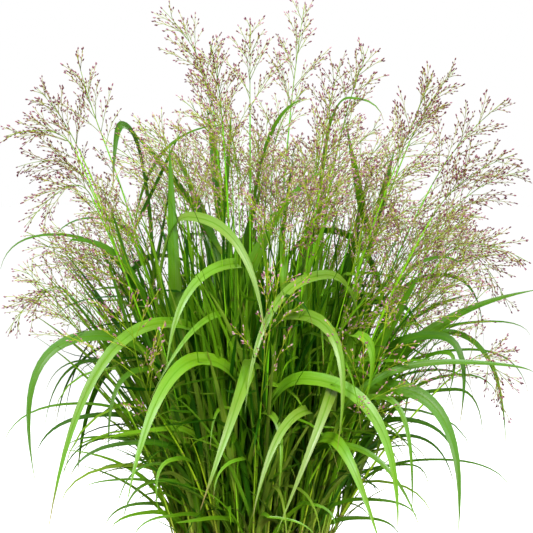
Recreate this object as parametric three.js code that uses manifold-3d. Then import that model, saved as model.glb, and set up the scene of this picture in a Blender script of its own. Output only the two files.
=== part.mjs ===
// Potted elegant lovegrass: a clay pot of soil, thirty-three leafy stems in a tight
// clump, and the airy seed heads of the twenty-four that flower. Millimetres, +Z up.
// The origin is the centre of the pot's underside, and -Y is the plant's front.
import * as THREE from "three";
import { mergeVertices } from "three/addons/utils/BufferGeometryUtils.js";
import Module from "manifold-3d";

const wasm = await Module();
wasm.setup();

const touchGap = 0.3;
// Slivers that are thinner than this are merged away where solids were joined.
const leastEdge = 0.05;

const pot = {
  height: 200,
  rimRadius: 120,
  rimHeight: 36,
  wallTopRadius: 110,
  footRadius: 79,
  innerFootRadius: 71,
  innerRimRadius: 110,
  floorThickness: 12,
  footEdge: 3,
  lipEdge: 4,
  lipRise: 5,
  softEdge: 1.5,
  innerEdge: 2,
  sides: 36,
  drainHoles: 4,
  drainRadius: 6,
  drainRing: 42,
  drainSides: 12,
};

const soil = {
  height: 180,
  relief: 2.5,
  sectors: 18,
  crownRadius: 84,
  middleRadius: 95,
  bottomRise: 4,
  bottomEdge: 5,
};

// A stem goes this deep into the soil, in a hole a little wider and deeper than itself.
const rootDepth = 22;
const rootHole = { wider: touchGap + 0.1, deeper: 1 };
const culm = { sides: 5, footRadius: 2.8, neckRadius: 1.1, steps: 4 };
// The crown is the clump at the soil, drawn in from where the stems end up.
const crown = { across: 0.31, deep: 0.29, lowLean: 0.35, lowRise: 0.6 };

// Flowering stems: the neck, where the seed head starts, and the seed head's tip.
const floweringStems = [
  [[-50, 40, 790], [-120, 50, 930]],
  [[0, -5, 785], [0, -10, 910]],
  [[55, 55, 790], [75, 90, 940]],
  [[120, -50, 755], [155, -75, 870]],
  [[220, 75, 750], [285, 110, 850]],
  [[190, -100, 715], [235, -140, 835]],
  [[245, 0, 690], [345, 0, 805]],
  [[235, -140, 650], [335, -190, 730]],
  [[270, 75, 640], [385, 100, 710]],
  [[250, -75, 590], [365, -90, 590]],
  [[285, 140, 580], [370, 160, 510]],
  [[-200, 20, 755], [-235, 25, 865]],
  [[-240, 105, 740], [-300, 140, 825]],
  [[-230, -60, 735], [-320, -75, 755]],
  [[-205, -110, 675], [-285, -160, 640]],
  [[-230, 150, 690], [-335, 200, 715]],
  [[-240, -5, 540], [-325, -30, 495]],
  [[-200, 195, 535], [-260, 220, 600]],
  [[295, -60, 460], [335, -75, 385]],
  [[-35, -110, 770], [-50, -160, 870]],
  [[90, -175, 685], [100, -240, 805]],
  [[-50, 175, 740], [-75, 250, 870]],
  [[100, 190, 740], [130, 260, 870]],
  [[15, 250, 665], [25, 360, 800]],
];

// Lower stems, each with a small seed head on it: the neck and the head's tip.
const lowStems = [
  [[-140, -90, 540], [-190, -145, 700]],
  [[-110, -150, 385], [-150, -215, 560]],
  [[120, -145, 375], [175, -215, 545]],
  [[180, -30, 380], [265, -70, 560]],
  [[15, -175, 415], [40, -240, 590]],
  [[150, 60, 560], [200, 90, 750]],
  [[-185, 55, 450], [-240, 110, 640]],
  [[-30, -40, 600], [-60, -60, 790]],
  [[65, -55, 590], [95, -60, 780]],
];

// Arching leaves: near where each leaves its stem, its crest, its tip, its width, and
// how far its drooping half bows to the right.
const archingLeaves = [
  // High on the stems
  [[-100, -25, 535], [-170, -50, 770], [-180, -70, 685], 15, 0],
  [[45, -60, 605], [130, -75, 805], [175, -90, 775], 9, 0],
  [[-105, -25, 495], [-260, -50, 625], [-330, -60, 580], 7, 0],
  [[-110, 40, 505], [-215, 50, 645], [-285, 60, 575], 5, 0],
  [[-120, -75, 445], [-230, -110, 620], [-235, -120, 605], 13.5, 0],
  // Broad ones in front, at the middle
  [[-110, -60, 500], [-80, -110, 650], [20, -210, 500], 16.5, 0],
  [[15, -75, 470], [-15, -125, 590], [-105, -190, 460], 16.5, 0],
  [[135, -75, 460], [100, -110, 575], [-5, -200, 405], 13.5, 0],
  [[15, -90, 340], [0, -150, 460], [-60, -260, 290], 21, 50],
  [[-20, -75, 350], [65, -150, 525], [110, -240, 360], 19.5, 35],
  [[-15, -90, 380], [-35, -125, 525], [-125, -200, 420], 12, 35],
  [[100, -110, 410], [135, -150, 500], [130, -210, 370], 13.5, 50],
  // Low on the left
  [[-100, -60, 380], [-200, -110, 495], [-275, -150, 305], 15, -50],
  [[-30, -90, 365], [-110, -160, 515], [-250, -250, 260], 18, 20],
  [[-15, -100, 340], [-65, -175, 470], [-150, -275, 300], 21, 20],
  [[-100, -75, 350], [-140, -100, 450], [-180, -150, 335], 10.5, -15],
  [[-100, -25, 265], [-230, -50, 400], [-330, -60, 340], 6, 0],
  [[-90, 10, 260], [-190, 0, 380], [-290, -10, 325], 10.5, 0],
  [[-85, 60, 240], [-205, 75, 340], [-260, 90, 320], 7.5, 0],
  [[-80, -110, 270], [-145, -140, 360], [-230, -160, 315], 10.5, 0],
  [[-75, 40, 230], [-170, 50, 305], [-205, 60, 300], 7.5, 0],
  [[-60, -40, 225], [-165, -60, 300], [-220, -75, 290], 6, 0],
  [[-60, -140, 280], [-95, -160, 340], [-110, -190, 250], 7.5, -25],
  [[-75, -90, 235], [-120, -110, 305], [-165, -140, 250], 7.5, 0],
  [[-115, 25, 345], [-210, 40, 450], [-285, 50, 345], 7.5, 0],
  [[-125, 75, 350], [-225, 100, 445], [-290, 110, 390], 5, 0],
  [[-60, 25, 210], [-140, 25, 255], [-200, 25, 220], 7.5, 0],
  [[-50, -125, 215], [-100, -150, 265], [-150, -160, 235], 7.5, 0],
  [[-65, -60, 250], [-120, -90, 325], [-175, -105, 260], 6, 0],
  // Low in the middle
  [[95, -75, 310], [110, -140, 445], [35, -250, 260], 18, 65],
  [[100, -110, 305], [75, -175, 405], [5, -250, 280], 15, 15],
  [[5, -125, 320], [20, -150, 400], [35, -200, 285], 10.5, 20],
  [[-5, -110, 305], [-35, -150, 405], [-50, -175, 355], 9, 0],
  [[20, -110, 250], [-10, -160, 340], [-45, -200, 295], 9, -5],
  [[0, -100, 210], [-65, -150, 260], [-95, -175, 260], 10.5, 0],
  [[-5, -120, 210], [25, -190, 270], [85, -210, 245], 7.5, 0],
  [[45, -100, 215], [80, -150, 280], [110, -175, 240], 7.5, 10],
  // Low on the right
  [[180, -40, 455], [255, -50, 595], [290, -60, 560], 7.5, 0],
  [[170, 50, 435], [265, 75, 565], [325, 100, 460], 9, 10],
  [[165, 75, 350], [335, 100, 500], [390, 110, 480], 7.5, 0],
  [[160, -25, 375], [260, -40, 495], [340, -60, 335], 10.5, 10],
  [[170, 10, 355], [245, 10, 485], [300, 10, 415], 10.5, 0],
  [[165, -75, 380], [245, -110, 495], [270, -150, 380], 13.5, 25],
  [[120, -125, 355], [265, -160, 465], [360, -190, 455], 12, 0],
  [[180, 75, 340], [305, 100, 460], [390, 110, 395], 6, 0],
  [[185, -100, 370], [255, -140, 475], [240, -160, 375], 9, 35],
  [[5, -100, 315], [75, -175, 445], [185, -260, 260], 21, 20],
  [[115, -90, 300], [185, -140, 430], [265, -200, 250], 21, 25],
  [[125, -125, 320], [170, -160, 420], [205, -200, 255], 10.5, 15],
  [[125, -50, 270], [200, -60, 380], [275, -75, 320], 10.5, 0],
  [[65, -110, 265], [120, -175, 360], [215, -240, 260], 12, -20],
  [[65, -125, 280], [105, -190, 370], [165, -260, 240], 18, -30],
  [[125, -40, 255], [255, -50, 325], [350, -60, 280], 5, 0],
  [[135, 10, 250], [210, 10, 350], [280, 10, 265], 7.5, 0],
  [[180, 60, 295], [285, 90, 405], [325, 100, 305], 7.5, 10],
  [[145, 40, 230], [215, 50, 305], [245, 55, 255], 6, 10],
  [[80, -75, 215], [165, -110, 280], [220, -125, 255], 7.5, 0],
  [[75, -25, 210], [150, -40, 245], [200, -40, 220], 7.5, 0],
  [[170, 40, 330], [260, 60, 435], [310, 75, 390], 6, 0],
  [[180, -10, 320], [285, -10, 435], [335, -10, 400], 6, 0],
];

// Rising leaves: near where each leaves its stem, its tip, its width, and how far it
// bends over, from 0 for a straight one to 1 for one that ends level.
const risingLeaves = [
  [[-90, 40, 590], [-180, 60, 780], 10.5, 0.2],
  [[-105, 10, 630], [-90, 10, 770], 7, 0],
  [[-105, -40, 630], [-30, -60, 770], 9, 1],
  [[-10, 50, 615], [-60, 75, 795], 15, 0.2],
  [[-20, 25, 630], [-25, 25, 795], 7.5, 0],
  [[-15, -25, 615], [75, -50, 805], 12, 0.9],
  [[110, 50, 600], [130, 60, 780], 13.5, 0],
  [[150, 90, 600], [200, 110, 740], 12, 0.1],
  [[-110, 50, 490], [-100, 40, 740], 19.5, 0],
  [[-115, -60, 445], [-185, -75, 670], 12, 0],
  [[-135, 25, 450], [-205, 25, 605], 9, 0],
  [[-15, -50, 495], [105, -90, 715], 18, 0.6],
  [[20, -150, 465], [40, -160, 635], 15, 0],
  [[35, -75, 485], [105, -125, 630], 12, 0.8],
  [[-60, -100, 435], [-145, -140, 535], 9, 1],
  [[65, -125, 215], [0, -200, 305], 13.5, 0.3],
  [[-35, -100, 260], [-130, -150, 375], 10.5, 0.7],
  [[-35, -110, 275], [-115, -160, 405], 12, 0.3],
  [[135, -75, 350], [230, -110, 590], 19.5, 0.1],
  [[125, -50, 335], [380, -100, 555], 18, 0.7],
  [[135, 0, 360], [305, -10, 545], 12, 0.7],
  // Broad ones inside the clump
  [[10, 90, 480], [20, 130, 700], 14, 0.3],
  [[60, 90, 470], [110, 150, 690], 14, 0.3],
  [[-50, 90, 470], [-90, 140, 690], 14, 0.3],
  [[90, 30, 500], [160, 60, 700], 13, 0.2],
  [[-10, -20, 480], [-30, -60, 660], 13, 0.3],
  [[40, 20, 520], [60, 20, 740], 12, 0.1],
  [[-60, 60, 560], [-110, 100, 740], 12, 0.2],
  [[70, 120, 560], [120, 170, 730], 12, 0.2],
];

// The leaves at the back arch outward too. Each draws its own values from these ranges,
// and crestRise and tipDrop are measured from where it leaves its stem and from its crest.
const backLeaves = {
  count: 24,
  angle: [12, 168],
  reach: [190, 330],
  height: [225, 520],
  crestRise: [80, 150],
  crestShare: 0.5,
  swing: [-0.22, 0.22],
  rootReach: [45, 100],
  tipDrop: [40, 190],
  lowestTip: 215,
  width: [6, 18],
  turn: [-45, 45],
};

// A blade is narrow where it leaves the stem, broad from rootShare on, and tapers to
// its tip. Its upper face is turned from level towards the front, by the first turn
// where the leaf comes forward and by the second where it goes sideways.
const blade = {
  keel: 0.8,
  fold: 0.08,
  turn: [24, 60],
  slimRoot: 0.25,
  rootShare: 0.22,
  taper: 2.4,
  headingShare: 0.25,
  leastTurnDot: 0.3,
  broadFrom: 13.5,
  broadSteps: 4,
  slimSteps: 3,
};
// How a leaf bends between its ends: lean and rise are the shares of the way to its
// first end, for a straight leaf and for one that ends level.
const leafBend = { lean: [0.5, 0.15], rise: [0.5, 1], fall: 0.85 };
// A leaf grows at least this far below its stem's neck, from one of the nearest stems.
const leafPlace = { belowNeck: 5, stemsTried: 3 };
// A leaf that would cross another stem is moved back or forward by one of these.
const leafShifts = [0, -10, 10, -20, 20, -32, 32, -46, 46, -60, 60];
const leafClearance = 0.6;
const tipShift = 1.3;

const head = {
  sides: 3,
  stalkRadius: 1.1,
  steps: 3,
  branches: 6,
  lowBranches: 4,
  lowOverlap: 2,
  firstBranch: 0.06,
  lastBranch: 0.84,
  branchShare: 0.42,
  branchLeast: 13,
  branchTaper: 0.7,
  nod: 0.5,
  spread: 40,
  upturn: 0.15,
  branchRadius: 0.65,
  twigRadius: 0.45,
  spiral: 137.5,
  turnPerHead: 40,
};
// A branch that would cross another stem goes round the seed head's stalk by one of these.
const branchTurns = [0, 24, -24, 48, -48, 75, -75, 110, -110, 150];
const spikelet = { length: 4.2, radius: 0.95, belly: 0.55 };

// A repeatable draw between 0 and 1 for two whole numbers.
const hash = { first: 12.9898, second: 78.233, spread: 43758.5453 };
function draw(a, b) {
  const wave = Math.sin(a * hash.first + b * hash.second) * hash.spread;
  return wave - Math.floor(wave);
}

const radians = (degrees) => (degrees * Math.PI) / 180;
const vector = (xyz) => new THREE.Vector3(...xyz);
const up = new THREE.Vector3(0, 0, 1);

function mix(a, b, share) {
  return a + (b - a) * share;
}

// A manifold solid from corner points and triangles, faces turned outward.
function solidFrom(points, triangles) {
  const mesh = {
    numProp: 3,
    vertProperties: new Float32Array(points.flatMap((p) => [p.x, p.y, p.z])),
    triVerts: new Uint32Array(triangles.flat()),
  };
  const made = new wasm.Manifold(new wasm.Mesh(mesh));
  if (made.volume() > 0) return made;
  mesh.triVerts = new Uint32Array(triangles.flatMap(([a, b, c]) => [a, c, b]));
  return new wasm.Manifold(new wasm.Mesh(mesh));
}

// A solid from a closed three.js geometry.
function solidOfGeometry(geometry) {
  geometry.deleteAttribute("normal");
  geometry.deleteAttribute("uv");
  const merged = mergeVertices(geometry, 1e-4);
  const points = [];
  for (let i = 0; i < merged.attributes.position.count; i++)
    points.push(new THREE.Vector3().fromBufferAttribute(merged.attributes.position, i));
  const triangles = [];
  for (let i = 0; i < merged.index.count; i += 3)
    triangles.push([0, 1, 2].map((k) => merged.index.getX(i + k)));
  return solidFrom(points, triangles);
}

function meshFrom(name, solid, material) {
  const { vertProperties, triVerts, numProp } = solid.asOriginal().simplify(leastEdge).getMesh();
  const count = vertProperties.length / numProp;
  const positions = new Float32Array(count * 3);
  for (let i = 0; i < count; i++)
    positions.set(vertProperties.subarray(i * numProp, i * numProp + 3), i * 3);
  const geometry = new THREE.BufferGeometry();
  geometry.setAttribute("position", new THREE.BufferAttribute(positions, 3));
  geometry.setIndex(new THREE.BufferAttribute(triVerts, 1));
  geometry.computeVertexNormals();
  const mesh = new THREE.Mesh(geometry, material);
  mesh.name = name;
  return mesh;
}

// A closed skin over rings of points, flat at the start, and at the end flat or, with
// an apex, drawn to a point.
function loft(rings, apex) {
  const around = rings[0].length;
  const points = rings.flat();
  const triangles = [];
  for (let r = 0; r + 1 < rings.length; r++)
    for (let k = 0; k < around; k++) {
      const a = r * around + k;
      const b = r * around + ((k + 1) % around);
      triangles.push([a, b, b + around], [a, b + around, a + around]);
    }
  const last = (rings.length - 1) * around;
  for (let k = 2; k < around; k++) triangles.push([0, k, k - 1]);
  if (apex) {
    points.push(apex);
    for (let k = 0; k < around; k++)
      triangles.push([last + k, last + ((k + 1) % around), points.length - 1]);
  } else {
    for (let k = 2; k < around; k++) triangles.push([last, last + k - 1, last + k]);
  }
  return solidFrom(points, triangles);
}

// A many-sided tube through points, with a radius at each. A last radius of 0 makes a
// pointed end. The side vector is what the first corner of every ring leans to.
function tube(points, radii, sides, side) {
  const pointed = radii.at(-1) === 0;
  const rings = [];
  points.forEach((point, i) => {
    if (pointed && i === points.length - 1) return;
    const before = points[Math.max(i - 1, 0)];
    const after = points[Math.min(i + 1, points.length - 1)];
    const along = after.clone().sub(before).normalize();
    const across = side.clone().addScaledVector(along, -side.dot(along)).normalize();
    const other = along.clone().cross(across);
    const ring = [];
    for (let k = 0; k < sides; k++) {
      const angle = (k / sides) * 2 * Math.PI;
      ring.push(
        point
          .clone()
          .addScaledVector(across, radii[i] * Math.cos(angle))
          .addScaledVector(other, radii[i] * Math.sin(angle)),
      );
    }
    rings.push(ring);
  });
  return loft(rings, pointed ? points.at(-1) : null);
}

// The level direction at right angles to a heading.
function levelNormal(heading) {
  const flat = new THREE.Vector3(heading.x, heading.y, 0);
  if (flat.length() < 1e-6) flat.set(1, 0, 0);
  return up.clone().cross(flat.normalize());
}

// The curve of a stem from the soil to its neck: steep at first, then leaning out.
function stemCurve(neck) {
  const end = vector(neck);
  const foot = new THREE.Vector3(end.x * crown.across, end.y * crown.deep, soil.height);
  const bend = new THREE.Vector3(
    mix(foot.x, end.x, crown.lowLean),
    mix(foot.y, end.y, crown.lowLean),
    mix(foot.z, end.z, crown.lowRise),
  );
  return new THREE.QuadraticBezierCurve3(foot, bend, end);
}

// The share of a stem's curve that lies below a height, from its quadratic in z.
function shareAtHeight(curve, height) {
  const q = (height - soil.height) / (curve.v2.z - soil.height);
  const late = 1 - 2 * crown.lowRise;
  if (Math.abs(late) < 1e-9) return q;
  const b = crown.lowRise;
  return (-b + Math.sqrt(b * b + late * q)) / late;
}

// The stem's solid, with its buried end, a little fatter by the clearance given.
function stemSolid(curve, extraRadius, extraDepth) {
  const start = curve.getTangent(0);
  const points = [curve.v0.clone().addScaledVector(start, -rootDepth - extraDepth)];
  const radii = [culm.footRadius + extraRadius];
  for (let i = 0; i <= culm.steps; i++) {
    const share = i / culm.steps;
    points.push(curve.getPoint(share));
    radii.push(mix(culm.footRadius, culm.neckRadius, share) + extraRadius);
  }
  const side = levelNormal(curve.v2.clone().sub(curve.v0));
  return tube(points, radii, culm.sides, side);
}

// The two halves of an arching leaf's midrib, or the one of a rising leaf.
function leafCurves(root, leaf, shift) {
  const firstBend = (end, over) => {
    const lean = mix(...leafBend.lean, over);
    const rise = mix(...leafBend.rise, over);
    return new THREE.Vector3(
      mix(root.x, end.x, lean),
      mix(root.y, end.y, lean),
      mix(root.z, end.z, rise),
    );
  };
  const tip = vector(leaf.tip).setY(leaf.tip[1] + tipShift * shift);
  if (!leaf.crest)
    return [new THREE.QuadraticBezierCurve3(root, firstBend(tip, leaf.over), tip)];
  const crest = vector(leaf.crest).setY(leaf.crest[1] + shift);
  const fall = new THREE.Vector3(
    mix(crest.x, tip.x, leafBend.fall) + leaf.bow,
    mix(crest.y, tip.y, leafBend.fall),
    crest.z,
  );
  return [
    new THREE.QuadraticBezierCurve3(root, firstBend(crest, 1), crest),
    new THREE.QuadraticBezierCurve3(crest, fall, tip),
  ];
}

// How broad a blade is along its length, as a share of its full width.
function bladeShare(along) {
  const opening = Math.min(1, along / blade.rootShare);
  return mix(blade.slimRoot, 1, opening * (2 - opening)) * (1 - along ** blade.taper);
}

// The level direction across a blade, at a share of one of its curves.
function levelAcross(curves, curve, share) {
  const heading = curves.at(-1).v2.clone().sub(curves[0].v0).setZ(0).normalize();
  const flat = curve.getTangent(share).setZ(0);
  return levelNormal(flat.addScaledVector(heading, blade.headingShare));
}

// Whether a blade turns back over itself as seen from above, which would twist it.
function turnsBack(curves) {
  const steps = blade.broadSteps;
  const levels = curves.flatMap((curve) =>
    Array.from({ length: steps + 1 }, (_, i) => levelAcross(curves, curve, i / steps)),
  );
  return levels.some((level, i) => i > 0 && level.dot(levels[i - 1]) < blade.leastTurnDot);
}

// A folded blade along the leaf's curves: two edges and a keel, drawn to a point.
function bladeSolid(curves, leaf, extra) {
  const steps = leaf.width >= blade.broadFrom ? blade.broadSteps : blade.slimSteps;
  const whole = curves.reduce((sum, c) => sum + c.getLength(), 0);
  const rings = [];
  let before = 0;
  curves.forEach((curve, part) => {
    const length = curve.getLength();
    for (let i = part ? 1 : 0; i <= steps; i++) {
      if (part === curves.length - 1 && i === steps) continue;
      const share = i / steps;
      const point = curve.getPoint(share);
      const along = curve.getTangent(share);
      const level = levelAcross(curves, curve, share);
      const over = along.clone().cross(level);
      const turn = radians(leaf.turn);
      const across = level.multiplyScalar(Math.cos(turn)).addScaledVector(over, Math.sin(turn));
      across.normalize();
      const face = along.clone().cross(across).normalize();
      const half = (leaf.width / 2) * bladeShare((before + length * share) / whole) + extra;
      const lift = blade.fold * leaf.width + extra;
      rings.push([
        point.clone().addScaledVector(across, half).addScaledVector(face, lift),
        point.clone().addScaledVector(face, -blade.keel - extra),
        point.clone().addScaledVector(across, -half).addScaledVector(face, lift),
      ]);
    }
    before += length;
  });
  return loft(rings, curves.at(-1).v2.clone());
}

// Whether two solids share any space, looked at only where their boxes meet.
function meets(a, b) {
  const boxA = a.boundingBox();
  const boxB = b.boundingBox();
  for (let k = 0; k < 3; k++)
    if (boxA.max[k] < boxB.min[k] || boxB.max[k] < boxA.min[k]) return false;
  const common = a.intersect(b);
  const shared = common.numTri() > 0;
  common.delete();
  return shared;
}

const placed = [];

function isClear(solid, owner) {
  return !placed.some((other) => other.owner !== owner && meets(solid, other.solid));
}

// Puts a solid in its owner's node and keeps later pieces of others off it.
function place(owner, solid) {
  placed.push({ owner, solid });
  owner.solid = owner.solid ? owner.solid.add(solid) : solid;
}

function makeStems() {
  return [...floweringStems, ...lowStems].map(([neck], i) => {
    const stem = { name: "stem_" + String(i + 1).padStart(2, "0"), curve: stemCurve(neck) };
    place(stem, stemSolid(stem.curve, 0, 0));
    return stem;
  });
}

// The curve of a seed head's stalk, which carries on from the stem and then nods.
function stalkCurve(stem, tip, gap) {
  const leaving = stem.curve.getTangent(1);
  const neck = stem.curve.v2.clone().addScaledVector(leaving, gap);
  const end = vector(tip);
  const bend = neck.clone().addScaledVector(leaving, head.nod * end.distanceTo(neck));
  return new THREE.QuadraticBezierCurve3(neck, bend, end);
}

// A tube that ends in a spikelet: a spindle on a thinner neck.
function twig(points, firstRadius, side) {
  const end = points.at(-1);
  const along = end.clone().sub(points.at(-2)).normalize();
  const neck = end.clone().addScaledVector(along, -spikelet.length);
  const belly = end.clone().addScaledVector(along, -spikelet.belly * spikelet.length);
  const body = points.slice(0, -1);
  const radii = body.map((_, i) => mix(firstRadius, head.twigRadius, i / points.length));
  return tube(
    [...body, neck, belly, end],
    [...radii, head.twigRadius, spikelet.radius, 0],
    head.sides,
    side,
  );
}

// Gives an owner, a seed head or a low stem, the stalk of the numbered head.
function addStalk(owner, stem, tip, number, gap) {
  owner.number = number;
  owner.stalk = stalkCurve(stem, tip, gap);
  owner.side = levelNormal(owner.stalk.v2.clone().sub(owner.stalk.v0));
  const points = [];
  for (let k = 0; k <= head.steps; k++) points.push(owner.stalk.getPoint(k / head.steps));
  place(owner, twig(points, head.stalkRadius, owner.side));
}

// The seed heads that are nodes of their own.
function makeHeads(stems) {
  return floweringStems.map(([, tip], i) => {
    const panicle = { name: "panicle_" + String(i + 1).padStart(2, "0"), branches: head.branches };
    addStalk(panicle, stems[i], tip, i, touchGap);
    return panicle;
  });
}

// The small seed heads, each one body with its stem.
function addLowHeads(stems) {
  return lowStems.map(([, tip], i) => {
    const number = floweringStems.length + i;
    const stem = stems[number];
    stem.branches = head.lowBranches;
    addStalk(stem, stem, tip, number, -head.lowOverlap);
    return stem;
  });
}

// The nearest stems to a point, at its height, among those that reach it.
function nearestStems(stems, at) {
  const reached = [];
  for (const stem of stems) {
    if (at.z > stem.curve.v2.z - leafPlace.belowNeck) continue;
    const point = stem.curve.getPoint(shareAtHeight(stem.curve, at.z));
    reached.push({ stem, point, distance: point.distanceTo(at) });
  }
  return reached.sort((a, b) => a.distance - b.distance).slice(0, leafPlace.stemsTried);
}

function leafList() {
  // Each leaf shows its upper face to the front, whichever side it goes to.
  const turned = (leaf) => {
    const [x, y] = [leaf.tip[0] - leaf.at[0], leaf.tip[1] - leaf.at[1]];
    const turn = mix(...blade.turn, Math.abs(x) / Math.hypot(x, y));
    return { ...leaf, turn: x > 0 ? turn : -turn };
  };
  const arching = archingLeaves.map(([at, crest, tip, width, bow]) =>
    turned({ at, crest, tip, width, bow }),
  );
  const rising = risingLeaves.map(([at, tip, width, over]) => turned({ at, tip, width, over }));
  return [...arching, ...rising, ...backList()];
}

function backList() {
  const onRing = (radius, around, height) => [
    radius * Math.cos(around),
    radius * Math.sin(around),
    height,
  ];
  const leaves = [];
  for (let i = 0; i < backLeaves.count; i++) {
    const drawn = (range, which) => mix(...range, draw(i, which));
    const angle = radians(mix(...backLeaves.angle, (i + 0.5) / backLeaves.count));
    const reach = drawn(backLeaves.reach, 1);
    const rootReach = drawn(backLeaves.rootReach, 5);
    const low = drawn(backLeaves.height, 2);
    const crestHeight = low + drawn(backLeaves.crestRise, 3);
    const tipAngle = angle + drawn(backLeaves.swing, 4);
    const tipHeight = Math.max(backLeaves.lowestTip, crestHeight - drawn(backLeaves.tipDrop, 6));
    leaves.push({
      at: onRing(rootReach, angle, low),
      crest: onRing(mix(rootReach, reach, backLeaves.crestShare), angle, crestHeight),
      tip: onRing(reach, tipAngle, tipHeight),
      width: drawn(backLeaves.width, 7),
      bow: 0,
      turn: drawn(backLeaves.turn, 8),
    });
  }
  return leaves;
}

// Puts each leaf on the nearest stem, with the first shift that keeps it clear.
function placeLeaf(stems, leaf) {
  for (const { stem, point } of nearestStems(stems, vector(leaf.at)))
    for (const shift of leafShifts) {
      const curves = leafCurves(point, leaf, shift);
      if (turnsBack(curves)) continue;
      if (!isClear(bladeSolid(curves, leaf, leafClearance), stem)) continue;
      place(stem, bladeSolid(curves, leaf, 0));
      return true;
    }
  return false;
}

// One branch of a seed head: a thin twig with a spikelet at its end.
function placeBranch(owner, number) {
  const { stalk, side } = owner;
  const share = mix(head.firstBranch, head.lastBranch, number / (owner.branches - 1));
  const step = Math.floor(share * head.steps);
  const [low, high] = [step, step + 1].map((k) => stalk.getPoint(k / head.steps));
  const start = low.clone().lerp(high, share * head.steps - step);
  const along = high.clone().sub(low).normalize();
  const room = stalk.getLength() * (1 - share) ** head.branchTaper;
  const length = head.branchShare * room + head.branchLeast;
  const other = along.clone().cross(side).normalize();
  for (const extra of branchTurns) {
    const turned = number * head.spiral + owner.number * head.turnPerHead;
    const around = radians(turned + extra);
    const outward = side
      .clone()
      .multiplyScalar(Math.cos(around))
      .addScaledVector(other, Math.sin(around));
    const lean = radians(head.spread);
    const end = start
      .clone()
      .addScaledVector(along, length * Math.cos(lean) * (1 + head.upturn))
      .addScaledVector(outward, length * Math.sin(lean));
    const hinge = along.clone().cross(outward).normalize();
    const branch = twig([start, end], head.branchRadius, hinge);
    if (!isClear(branch, owner)) continue;
    place(owner, branch);
    return true;
  }
  return false;
}

function makePot() {
  const innerAt = (height) => {
    const share = (height - pot.floorThickness) / (pot.height - pot.floorThickness);
    return mix(pot.innerFootRadius, pot.innerRimRadius, share);
  };
  const rimFoot = pot.height - pot.rimHeight;
  const innerCorner = pot.floorThickness + pot.innerEdge;
  const profile = [
    [0, 0],
    [pot.footRadius - pot.footEdge, 0],
    [pot.footRadius, pot.footEdge],
    [pot.wallTopRadius, rimFoot],
    [pot.rimRadius - pot.lipEdge, rimFoot + pot.softEdge],
    [pot.rimRadius, pot.height - pot.lipRise],
    [pot.rimRadius - pot.softEdge, pot.height - pot.softEdge],
    [pot.rimRadius - pot.lipEdge, pot.height],
    [pot.innerRimRadius + pot.innerEdge, pot.height],
    [innerAt(pot.height - pot.innerEdge), pot.height - pot.innerEdge],
    [innerAt(innerCorner), innerCorner],
    [pot.innerFootRadius - pot.innerEdge, pot.floorThickness],
    [0, pot.floorThickness],
  ];
  const shell = new THREE.LatheGeometry(
    profile.map(([r, z]) => new THREE.Vector2(r, z)),
    pot.sides,
  ).rotateX(Math.PI / 2);
  let solid = solidOfGeometry(shell);
  for (let i = 0; i < pot.drainHoles; i++) {
    const angle = ((i + 0.5) / pot.drainHoles) * 2 * Math.PI;
    const deep = 4 * pot.floorThickness;
    const { drainRadius, drainSides } = pot;
    const drill = new THREE.CylinderGeometry(drainRadius, drainRadius, deep, drainSides)
      .rotateX(Math.PI / 2)
      .translate(pot.drainRing * Math.cos(angle), pot.drainRing * Math.sin(angle), 0);
    solid = solid.subtract(solidOfGeometry(drill));
  }
  return { solid, innerAt };
}

// Soil fills the pot. Its top rises and falls a little, and its side follows the wall.
function makeSoil(innerAt, stems) {
  const floor = pot.floorThickness + touchGap;
  const edge = innerAt(soil.height) - 2 * touchGap;
  const sideFoot = floor + soil.bottomRise;
  const bottomEdge = innerAt(sideFoot) - 2 * touchGap;
  const points = [];
  const triangles = [];
  const radii = [soil.crownRadius, soil.middleRadius, edge];
  radii.forEach((radius, ring) => {
    for (let k = 0; k < soil.sectors; k++) {
      const angle = ((k + 0.5 * (ring % 2)) / soil.sectors) * 2 * Math.PI;
      const relief = ring ? soil.relief * (2 * draw(ring, k) - 1) : 0;
      const height = soil.height + relief;
      points.push(
        new THREE.Vector3(radius * Math.cos(angle), radius * Math.sin(angle), height),
      );
    }
  });
  const low = points.length;
  for (let k = 0; k < soil.sectors; k++) {
    const [x, y] = points[low - soil.sectors + k].toArray();
    const shrink = bottomEdge / edge;
    points.push(new THREE.Vector3(x * shrink, y * shrink, sideFoot));
  }
  for (let k = 0; k < soil.sectors; k++) {
    const [x, y] = points[low + k].toArray();
    const shrink = (bottomEdge - soil.bottomEdge) / bottomEdge;
    points.push(new THREE.Vector3(x * shrink, y * shrink, floor));
  }
  const rows = radii.length + 2;
  for (let k = 0; k < soil.sectors; k++) {
    const next = (k + 1) % soil.sectors;
    if (k > 1) triangles.push([0, k - 1, k]);
    for (let row = 0; row + 1 < rows; row++) {
      const a = row * soil.sectors;
      const b = a + soil.sectors;
      triangles.push([a + k, b + k, b + next], [a + k, b + next, a + next]);
    }
    const last = (rows - 1) * soil.sectors;
    if (k > 1) triangles.push([last, last + k, last + k - 1]);
  }
  let solid = solidFrom(points, triangles);
  for (const stem of stems)
    solid = solid.subtract(stemSolid(stem.curve, rootHole.wider, rootHole.deeper));
  return solid;
}

const clay = new THREE.MeshStandardMaterial({ color: 0xb9704a, roughness: 0.85 });
const earth = new THREE.MeshStandardMaterial({ color: 0x35261c, roughness: 0.95 });
const green = new THREE.MeshStandardMaterial({ color: 0x6c9440, roughness: 0.6 });
const mauve = new THREE.MeshStandardMaterial({ color: 0x9c8088, roughness: 0.7 });

const stems = makeStems();
const heads = makeHeads(stems);
const lowHeads = addLowHeads(stems);
leafList().forEach((leaf) => placeLeaf(stems, leaf));
for (let number = 0; number < head.branches; number++)
  for (const owner of [...heads, ...lowHeads])
    if (number < owner.branches) placeBranch(owner, number);

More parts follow.
